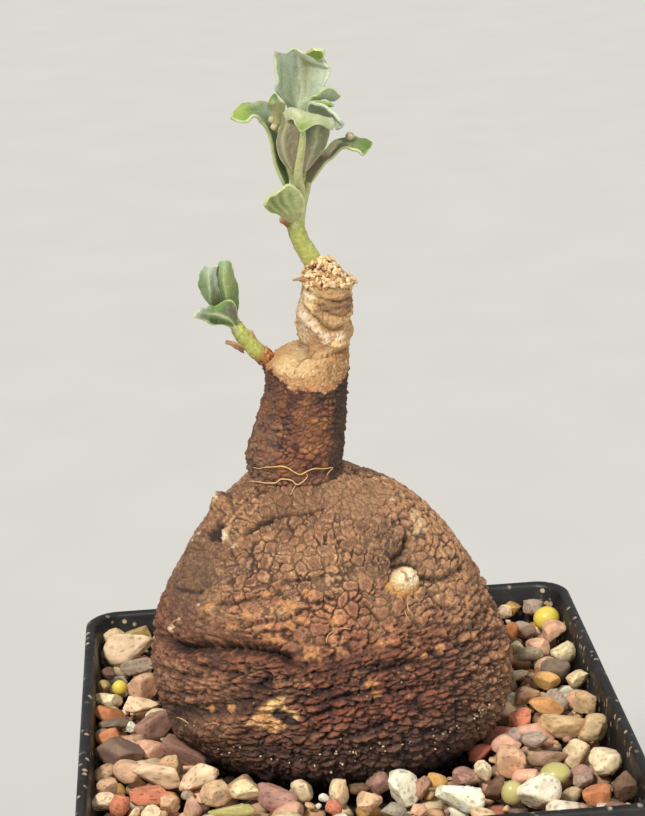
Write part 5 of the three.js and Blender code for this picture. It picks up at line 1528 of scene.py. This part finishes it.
SIDE_LEAVES = [
    {
        "rim": (208, 218, 158), "ribs": (),
        "facing": ((104, 134, 66), [
            # The first shade on the next line is painted shade on the blade's lower half, below the midrib
            (0.42, 0.14, 0.4, 0.2, (40, 70, 20), 0.97), (0.6, 0.8, 0.2, 0.2, (96, 146, 44), 0.95),
            (0.22, 0.76, 0.22, 0.16, (112, 96, 96), 0.95), (0.32, 0.44, 0.45, 0.06, (208, 204, 164), 0.95),
            (1, 0.5, 0.24, 0.9, (212, 222, 206), 0.97),
        ]),
        "other": ((150, 166, 120), [(1, 0.5, 0.24, 0.9, (206, 216, 200), 0.9)]),
        "stalk": [[-17.2, 0.8, 189], [-18.2, 0.4, 190.4], [-19.4, -0.6, 192]],
        "net": [
            [[-19, -0.5, 191], [-18.5, 0, 191.5], [-18, 0.5, 192]],
            [[-21, -2.5, 192.5], [-19.5, -1.5, 193.5], [-18, 0, 195]],
            [[-23, -4, 193], [-21.5, -3, 195], [-19, -1, 197]],
            [[-24, -5, 194], [-23, -4, 195.5], [-21.5, -2, 196.5]],
            [[-25.5, -6, 195], [-25, -6, 196.5], [-23.5, -4, 196.5]],
            [[-26.5, -6.5, 195.5], [-26, -6.5, 196.5], [-25, -6, 197]],
        ],
    },
    {
        "rim": (216, 222, 192), "ribs": (0.5,),
        "facing": ((112, 130, 72), [
            (1, 0.5, 0.3, 0.9, (184, 200, 178), 0.8), (0.45, 0.12, 0.3, 0.15, (96, 134, 60), 0.8),
            # The near white shade on the next line is a painted highlight at the blade's inner top
            (0.7, 0.85, 0.3, 0.12, (220, 230, 216), 0.8),
            (0.2, 0.85, 0.2, 0.2, (140, 118, 88), 0.6),
        ]),
        "other": ((150, 166, 130), []),
        "stalk": [[-17.6, 1.2, 190], [-19.4, 1.4, 192.5], [-22, 1.2, 195.6]],
        "net": [
            [[-22.5, 1.5, 195], [-22, 1, 195], [-21, 1.5, 195]],
            [[-24.5, 2, 198], [-23, -0.5, 197], [-21, 1.5, 197]],
            [[-25, 2, 200], [-23, -1, 199], [-21.5, 1.5, 199]],
            [[-24.5, 2, 202], [-23, -0.5, 201.5], [-21.5, 1.5, 201]],
            [[-23.5, 2, 203.5], [-22.5, 1, 203.5], [-21, 1.5, 203.5]],
        ],
    },
    {
        "rim": (204, 214, 164), "ribs": (0.45,),
        "facing": ((114, 138, 70), [
            (1, 0.4, 0.24, 0.8, (168, 190, 150), 0.7), (0.7, 0.65, 0.16, 0.22, (160, 156, 92), 0.7),
            (0.08, 0.5, 0.36, 0.8, (58, 96, 36), 0.95), (0.4, 0.8, 0.2, 0.2, (92, 130, 56), 0.6),
        ]),
        "other": ((150, 166, 124), []),
        "stalk": [[-17.4, 1.6, 189.6], [-18, 2, 191], [-18.9, 2, 193.2]],
        "net": [
            [[-19.5, 2.5, 192.5], [-19, 2, 192.5], [-18, 2.5, 192.5]],
            [[-21, 3, 196], [-19, 0.5, 195], [-17.5, 3, 195.5]],
            [[-21.5, 3, 198.5], [-19.5, 0, 198], [-17.5, 3, 198]],
            [[-21.5, 3, 201], [-20, 0.5, 201], [-18, 3, 201]],
            [[-20.5, 2.5, 204], [-19.5, 2, 204.5], [-18.5, 2.5, 203.5]],
        ],
    },
    {
        "rim": (180, 192, 150), "ribs": (),
        "facing": ((116, 136, 100), []),
        "other": ((150, 170, 130), []),
        "stalk": [[-17.6, 1.8, 190], [-18.4, 3, 192], [-19, 4.2, 194]],
        "net": [
            [[-19, 2.8, 192.5], [-18.4, 3.4, 192.5], [-17.8, 3, 192.5]],
            [[-21, 3.5, 195], [-19.5, 4.5, 194.5], [-18, 4, 194.5]],
            [[-21.5, 4.5, 197.5], [-20, 6, 197], [-18.5, 4.5, 197]],
            [[-21.5, 4, 200], [-20.5, 5.5, 200.5], [-19, 4, 200]],
        ],
    },
]

# Dry brown scales on the stems, as rows of points like the leaves'
SCALE_COLOURS = {
    "rim": (196, 150, 108), "ribs": (),
    "facing": ((150, 98, 62), [(1, 0.5, 0.4, 1, (206, 168, 130), 0.8)]),
    "other": ((160, 110, 74), []),
}
MAIN_SCALES = [
    [
        [[-6.8, 0.9, 210], [-7, 0.3, 210.6], [-6.7, -0.1, 211.4]],
        [[-7.8, 0.4, 211], [-8, -0.1, 211.6], [-7.7, -0.4, 212.3]],
        [[-8.6, -0.2, 211.9], [-8.8, -0.6, 212.3], [-8.4, -0.8, 212.8]],
    ],
]
SIDE_SCALES = [
    [
        [[-17, 1.2, 185.4], [-17.1, 0.7, 186], [-16.8, 0.9, 186.8]],
        [[-18.8, 0.5, 187], [-18.8, 0.1, 187.5], [-18.6, 0.3, 188.1]],
        [[-20.4, 0, 187.8], [-20.6, -0.2, 188.2], [-20.3, 0, 188.6]],
    ],
    [
        [[-15, 2.4, 186.6], [-14.6, 1.9, 186.8], [-14, 2.2, 186.4]],
        [[-15.8, 2, 188.5], [-15.1, 1.5, 188.4], [-14.5, 1.9, 188]],
        [[-16.2, 2, 189.9], [-15.6, 1.8, 189.9], [-15.1, 2, 189.6]],
    ],
]
# Buds in the crown: middle and radius
BUDS = [
    ([-9.2, -1, 231.6], 0.8), ([-8.1, -1.6, 231.9], 0.7), ([-8.9, -1.8, 230.4], 0.75),
    ([-8, -1.2, 229.7], 0.7), ([5.5, 0, 227.4], 0.85),
]


def rim_distance(grid, u, v):
    """How far each place on a blade is from its two sides and its tip, in mm."""
    width = np.linalg.norm(np.diff(grid, axis=1), axis=2).sum(axis=1)[:, None]
    length = np.linalg.norm(np.diff(grid, axis=0), axis=2).sum(axis=0)[None]
    return np.minimum(np.minimum(v, 1 - v) * width, (1 - u) * length)


def blade(leaf, phase, rows=52, columns=44):
    """A fleshy blade: two sheets with a rounded pale rim, soft ribs and shades."""
    net = np.array(leaf["net"], float)
    rising = np.sin(np.linspace(0, np.pi / 2, rows))
    crossing = 0.5 - 0.5 * np.cos(np.linspace(0, np.pi, columns))
    strips = along(net, rising * (len(net) - 1))
    grid = along(strips.transpose(1, 0, 2), crossing * (net.shape[1] - 1)).transpose(1, 0, 2)
    u, v = np.meshgrid(rising, crossing, indexing="ij")
    normal = unit(np.cross(np.gradient(grid, axis=0), np.gradient(grid, axis=1)))
    flat = grid.reshape(-1, 3)
    to_rim = rim_distance(grid, u, v)
    near_rim = 1 - soft_step(to_rim, 0, 1.6)
    wave = rough(flat, 1.6, phase).reshape(u.shape)
    grid = grid + normal * (wave * (0.12 + 0.3 * near_rim) * soft_step(u, 0.1, 0.5))[..., None]
    bent = v + 0.03 * rough(flat, 2.4, phase + 1).reshape(u.shape)
    ribs = sum((np.exp(-(((bent - place) / 0.035) ** 2)) for place in leaf["ribs"]), np.zeros(u.shape))
    ribs = ribs * (1 - soft_step(u, 0.5, 1)) * soft_step(to_rim, 0.2, 0.8)
    thickness = 0.3 * np.sqrt(np.clip(np.minimum(to_rim, 8 * u + 0.05) / 0.3, 0.05, 1))
    thickness = thickness + 0.1 * ribs + 0.05 * np.exp(-(((to_rim - 0.25) / 0.15) ** 2))
    upper = grid + normal * thickness[..., None]
    lower = grid - normal * thickness[..., None]
    points = np.concatenate([upper.reshape(-1, 3), lower.reshape(-1, 3)])

    count = rows * columns
    sheet = grid_faces(rows, columns, False)
    faces = [face[::-1] for face in sheet] + [[k + count for k in face] for face in sheet]
    index = np.arange(count).reshape(rows, columns)
    loop = np.concatenate([index[0, :-1], index[:-1, -1], index[-1, :0:-1], index[:0:-1, 0]]).tolist()
    for a, b in zip(loop, loop[1:] + loop[:1]):
        faces.append([a, b, b + count, a + count])

    mottle = rough(flat, 0.7, phase + 2)
    grains = rough(flat, 0.16, phase + 3)
    sides = []
    for base, shades in (leaf["other"], leaf["facing"]):
        paint = Paint(count, base)
        for u_place, v_place, u_reach, v_reach, colour, share in shades:
            far = ((u.ravel() - u_place) / u_reach) ** 2 + ((bent.ravel() - v_place) / v_reach) ** 2
            paint.lay(colour, np.exp(-far) * share * (1 + 0.3 * mottle))
        paint.lay(np.array(base) * 0.72, soft_step(mottle, 0.05, 0.6) * 0.3)
        paint.lay(leaf["rim"], ribs.ravel() * 0.35)
        paint.lay((222, 226, 208), soft_step(grains, 0.25, 0.7) * 0.3)
        paint.lay(leaf["rim"], (1 - soft_step(to_rim.ravel(), 0.18, 0.5)) * 0.85)
        sides.append(paint.colours)
    return points, faces, np.concatenate(sides)


def stem_part(points, radii, root_colour, root_end):
    """A mottled stem, knobbly and a little ribbed, browner at its root up to a share of its length."""
    grid, ring = tube_grid(points, radii, 40, 110)
    flat = grid.reshape(-1, 3)
    bumps = 0.12 * rough(flat, 0.9, 21) + 0.14 * rough(flat, np.array([0.5, 0.5, 2.6]), 22)
    grid = grid + ring * bumps.reshape(grid.shape[:2])[..., None]
    skin_points, faces = closed_skin(grid)
    paint = Paint(len(skin_points), STEM_COLOUR)
    share = np.append(np.repeat(np.linspace(0, 1, grid.shape[0]), grid.shape[1]), [0, 1])
    paint.lay(STEM_SHADE, soft_step(rough(skin_points, 0.8, 23), 0, 0.5) * 0.7)
    paint.lay(STEM_LIGHT, soft_step(rough(skin_points, 0.35, 24), 0.1, 0.6) * 0.6)
    paint.lay(root_colour, (1 - soft_step(share, root_end - 0.12, root_end)) * 0.85)
    return skin_points, faces, paint.colours


def stalk_part(points):
    """A stalk, thinner towards the blade, speckled with pale hairs."""
    grid, _ = tube_grid(points, [1, 0.85, 0.72, 0.5], 16, 40)
    skin_points, faces = closed_skin(grid)
    paint = Paint(len(skin_points), STALK_COLOUR)
    paint.lay(STEM_SHADE, soft_step(rough(skin_points, 0.7, 25), 0.1, 0.6) * 0.5)
    paint.lay((222, 220, 184), soft_step(rough(skin_points, 0.2, 26), 0.1, 0.6) * 0.6)
    return skin_points, faces, paint.colours


def bud_part(middle, radius):
    """A rough round bud."""
    directions, faces = sphere(2)
    points = directions * radius * (1 + 0.25 * rough(directions + middle, 0.7, 27))[:, None] + middle
    paint = Paint(len(points), (202, 192, 150))
    paint.lay((112, 86, 52), soft_step(rough(points, 0.5, 28), 0.15, 0.5) * 0.8)
    return points, faces, paint.colours


def shoot_parts(leaves, scales):
    """A shoot's stalks, blades and dry scales."""
    parts = [stalk_part(leaf["stalk"]) for leaf in leaves if leaf["stalk"]]
    parts += [blade(leaf, 30 + 5 * k) for k, leaf in enumerate(leaves)]
    parts += [blade({**SCALE_COLOURS, "net": net}, 90 + 5 * k, 14, 12) for k, net in enumerate(scales)]
    return parts


def make_main_shoot(material):
    parts = [stem_part(MAIN_STEM, [1.9, 1.9, 1.75, 1.65, 1.5, 1.2], (184, 172, 104), 0.2)]
    parts += shoot_parts(MAIN_LEAVES, MAIN_SCALES)
    parts += [bud_part(np.array(middle), radius) for middle, radius in BUDS]
    add_piece("main_shoot_leaves", *join(parts), material, "foliage", "main_shoot")


def make_side_shoot(material):
    parts = [stem_part(SIDE_STEM, [1.8, 1.75, 1.65, 1.5, 1.2], (160, 96, 44), 0.5)]
    parts += shoot_parts(SIDE_LEAVES, SIDE_SCALES)
    add_piece("side_shoot_leaves", *join(parts), material, "foliage", "side_shoot")


# The pot


def rounded_square(half, radius, z):
    """The points of a square with rounded corners at a height."""
    ring = []
    for corner in range(4):
        middle = (corner + 0.5) * math.pi / 2
        reach = (half - radius) * math.sqrt(2)
        for step in range(CORNER_STEPS + 1):
            angle = (corner + step / CORNER_STEPS) * math.pi / 2
            ring.append([
                reach * math.cos(middle) + radius * math.cos(angle),
                reach * math.sin(middle) + radius * math.sin(angle),
                z,
            ])
    return ring


def make_pot(material):
    """The square pot with its band, rounded rim and drain holes."""
    band_foot = POT_HEIGHT - BAND_HEIGHT
    inner_top = POT_TOP_HALF - RIM_WIDTH
    inner_base = POT_BASE_HALF - POT_WALL
    wall_top = POT_TOP_HALF - BAND_STEP
    corner = CORNER_RADIUS - POT_WALL

    def wall(z):
        return POT_BASE_HALF + (wall_top - POT_BASE_HALF) * z / POT_HEIGHT

    def inner(z):
        return inner_base + (inner_top - inner_base) * z / POT_HEIGHT

    profile = [(wall(0) - 0.6, CORNER_RADIUS, 0), (wall(0) - 0.15, CORNER_RADIUS, 0.25),
               (wall(1), CORNER_RADIUS, 1)]
    profile += [(wall(z), CORNER_RADIUS, z) for z in (30, 60, band_foot)]
    profile += [(wall(band_foot) + BAND_STEP * 0.7, CORNER_RADIUS, band_foot + 0.35),
                (wall(band_foot) + BAND_STEP, CORNER_RADIUS, band_foot + 1)]
    profile.append((POT_TOP_HALF, CORNER_RADIUS, POT_HEIGHT - 0.9))
    for step in range(1, 6):
        turn = step / 6 * math.pi
        middle = POT_TOP_HALF - RIM_WIDTH / 2
        half = middle + RIM_WIDTH / 2 * math.cos(turn)
        radius = CORNER_RADIUS - POT_WALL / 2 + POT_WALL / 2 * math.cos(turn)
        profile.append((half, radius, POT_HEIGHT - 0.9 + 0.9 * math.sin(turn)))
    profile.append((inner(POT_HEIGHT - 0.9), corner, POT_HEIGHT - 0.9))
    profile += [(inner(z), corner, z) for z in (90, 60, 30, POT_FLOOR)]
    grid = np.array([rounded_square(*ring) for ring in profile])
    points, faces = closed_skin(grid)
    pot = add_piece("pot_shell", points, faces, None, material, "pot_plastic", "pot")
    for x in (-DRAIN_OFFSET, DRAIN_OFFSET):
        for y in (-DRAIN_OFFSET, DRAIN_OFFSET):
            cut_hole(pot, x, y)


def cut_hole(pot, x, y):
    """A drain hole through the pot's floor."""
    bpy.ops.mesh.primitive_cylinder_add(
        vertices=32, radius=DRAIN_RADIUS * MM, depth=POT_FLOOR * 4 * MM, location=(x * MM, y * MM, 0)
    )
    drill = bpy.context.object
    cut = pot.modifiers.new("drain", "BOOLEAN")
    cut.operation = "DIFFERENCE"
    cut.solver = "EXACT"
    cut.object = drill
    bpy.context.view_layer.objects.active = pot
    pot.select_set(True)
    bpy.ops.object.modifier_apply(modifier=cut.name)
    bpy.data.objects.remove(drill)


def pot_material():
    """Black plastic with a dull sheen, dust and white lime specks towards the rim."""
    material, tree, shader = new_material("pot_plastic", IOR=1.5)
    place = node(tree, "TexCoord").outputs["Object"]
    height = node(tree, "SeparateXYZ", {"Vector": place}).outputs["Z"]
    near_rim = ramp(tree, height, 0.086, 0.109)
    dust = ramp(tree, noise_output(tree, 9, 6, 0.7), 0.45, 0.75)
    dull = blend(tree, dust, rgba((22, 22, 23)), rgba((48, 46, 43)))
    specks = node(tree, "TexVoronoi", {"Vector": place, "Scale": 480.0})
    is_speck = ramp(tree, specks.outputs["Distance"], 0.2, 0.32, 1, 0)
    patch = ramp(tree, noise_output(tree, 5, 3, 0.6), 0.47, 0.6)
    amount = product(tree, product(tree, is_speck, patch), near_rim)
    colour = blend(tree, amount, dull, rgba((196, 178, 150)))
    tree.links.new(colour, shader.inputs["Base Color"])
    tree.links.new(ramp(tree, noise_output(tree, 3, 5, 0.7), 0.3, 0.7, 0.38, 0.6), shader.inputs["Roughness"])
    add_relief(tree, shader, noise_output(tree, 0.8, 4, 0.6), 0.06)
    return material


def soil_material():
    """Dark mineral soil with paler grains."""
    material, tree, shader = new_material("soil_mix", Roughness=0.95)
    place = node(tree, "TexCoord").outputs["Object"]
    grains = node(tree, "TexVoronoi", {"Vector": place, "Scale": 700.0})
    mixed = ramp(tree, grains.outputs["Color"], 0.55, 0.95)
    colour = blend(tree, mixed, rgba((46, 34, 26)), rgba((120, 96, 72)))
    tree.links.new(colour, shader.inputs["Base Color"])
    add_relief(tree, shader, grains.outputs["Distance"], 0.9)
    return material


def floor_material():
    """Plain pale paper."""
    material, tree, shader = new_material("floor", Roughness=0.8)
    tone = ramp(tree, noise_output(tree, 60, 3, 0.5), 0.3, 0.7)
    colour = blend(tree, tone, rgba((205, 204, 200)), rgba((208, 207, 203)))
    tree.links.new(colour, shader.inputs["Base Color"])
    return material


# The stage


def add_floor():
    half = 3.0
    mesh = bpy.data.meshes.new("floor")
    corners = [(-half, -half, 0), (half, -half, 0), (half, half, 0), (-half, half, 0)]
    mesh.from_pydata(corners, [], [(0, 1, 2, 3)])
    mesh.materials.append(floor_material())
    floor = bpy.data.objects.new("floor", mesh)
    floor.location.z = -0.0003
    bpy.context.scene.collection.objects.link(floor)


def add_sun(name, towards, strength, spread, tint=(255, 255, 255)):
    """A far soft light that shines from a direction."""
    light = bpy.data.lights.new(name, "SUN")
    light.energy = strength
    light.angle = math.radians(spread)
    light.color = linear(tint)
    lamp = bpy.data.objects.new(name, light)
    lamp.rotation_euler = Vector(towards).to_track_quat("Z", "Y").to_euler()
    bpy.context.scene.collection.objects.link(lamp)


def add_lights():
    """One soft key from the upper left in front, and even pale light all round."""
    add_sun("key", (-0.36, -0.56, 0.74), 2.9, 8, (255, 250, 243))
    add_sun("fill", (0.7, -0.7, 0.25), 1, 50)
    world = bpy.data.worlds.new("studio")
    world.use_nodes = True
    background = world.node_tree.nodes["Background"]
    background.inputs["Color"].default_value = rgba((244, 245, 246))
    background.inputs["Strength"].default_value = 0.45
    bpy.context.scene.world = world


def add_camera():
    """The camera at the photo's viewing angle."""
    azimuth, tilt, roll = (math.radians(a) for a in (CAMERA_AZIMUTH, CAMERA_TILT, CAMERA_ROLL))
    forward = Vector((
        -math.sin(azimuth) * math.cos(tilt),
        math.cos(azimuth) * math.cos(tilt),
        -math.sin(tilt),
    ))
    level = Vector((math.cos(azimuth), math.sin(azimuth), 0))
    upright = level.cross(forward)
    right = math.cos(roll) * level + math.sin(roll) * upright
    up = math.cos(roll) * upright - math.sin(roll) * level
    data = bpy.data.cameras.new("camera")
    data.sensor_fit = "AUTO"
    data.sensor_width = SENSOR_MM
    data.lens = FOCAL_PX / PHOTO_HEIGHT_PX * SENSOR_MM
    data.clip_start = 0.01
    data.clip_end = 20
    camera = bpy.data.objects.new("camera", data)
    turn = Matrix((right, up, -forward)).transposed().to_4x4()
    camera.matrix_world = Matrix.Translation(Vector(CAMERA_PLACE) * MM) @ turn
    bpy.context.scene.collection.objects.link(camera)
    bpy.context.scene.camera = camera


def dress_soil(material):
    """Give the CAD's soil block its material."""
    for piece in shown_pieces():
        if piece.name.startswith("substrate"):
            piece.data.materials.clear()
            piece.data.materials.append(material)


bark = painted_material("bark", 0.45, 0.34, (0.6, 0.9), 0.28, 0.16, 0.8)
pale_bark = painted_material("pale_bark", 0.35, 0.2, (0.62, 0.92), 0.22, 0.12)
thread = painted_material("root_thread", 0.6, 0.15, (0.6, 0.85), 0.3, 0.05)
rough_stone = painted_material("rough_stone", 0.5, 0.16, (0.7, 0.95), 0.3, 0.12)
bead_stone = painted_material("bead", 1.5, 0.08, (0.25, 0.4), 0.8, 0.03)
foliage = painted_material("foliage", 0.35, 0.2, (0.4, 0.62), 0.2, 0.1, Sheen_Weight=0.12)

dress_soil(soil_material())
make_pot(pot_material())
make_body(bark)
make_trunk(pale_bark)
make_crown(pale_bark)
make_threads(thread)
make_grit(rough_stone)
make_gravel(rough_stone, bead_stone)
make_main_shoot(foliage)
make_side_shoot(foliage)
add_floor()
add_lights()
add_camera()
bpy.context.scene.view_settings.view_transform = "Standard"
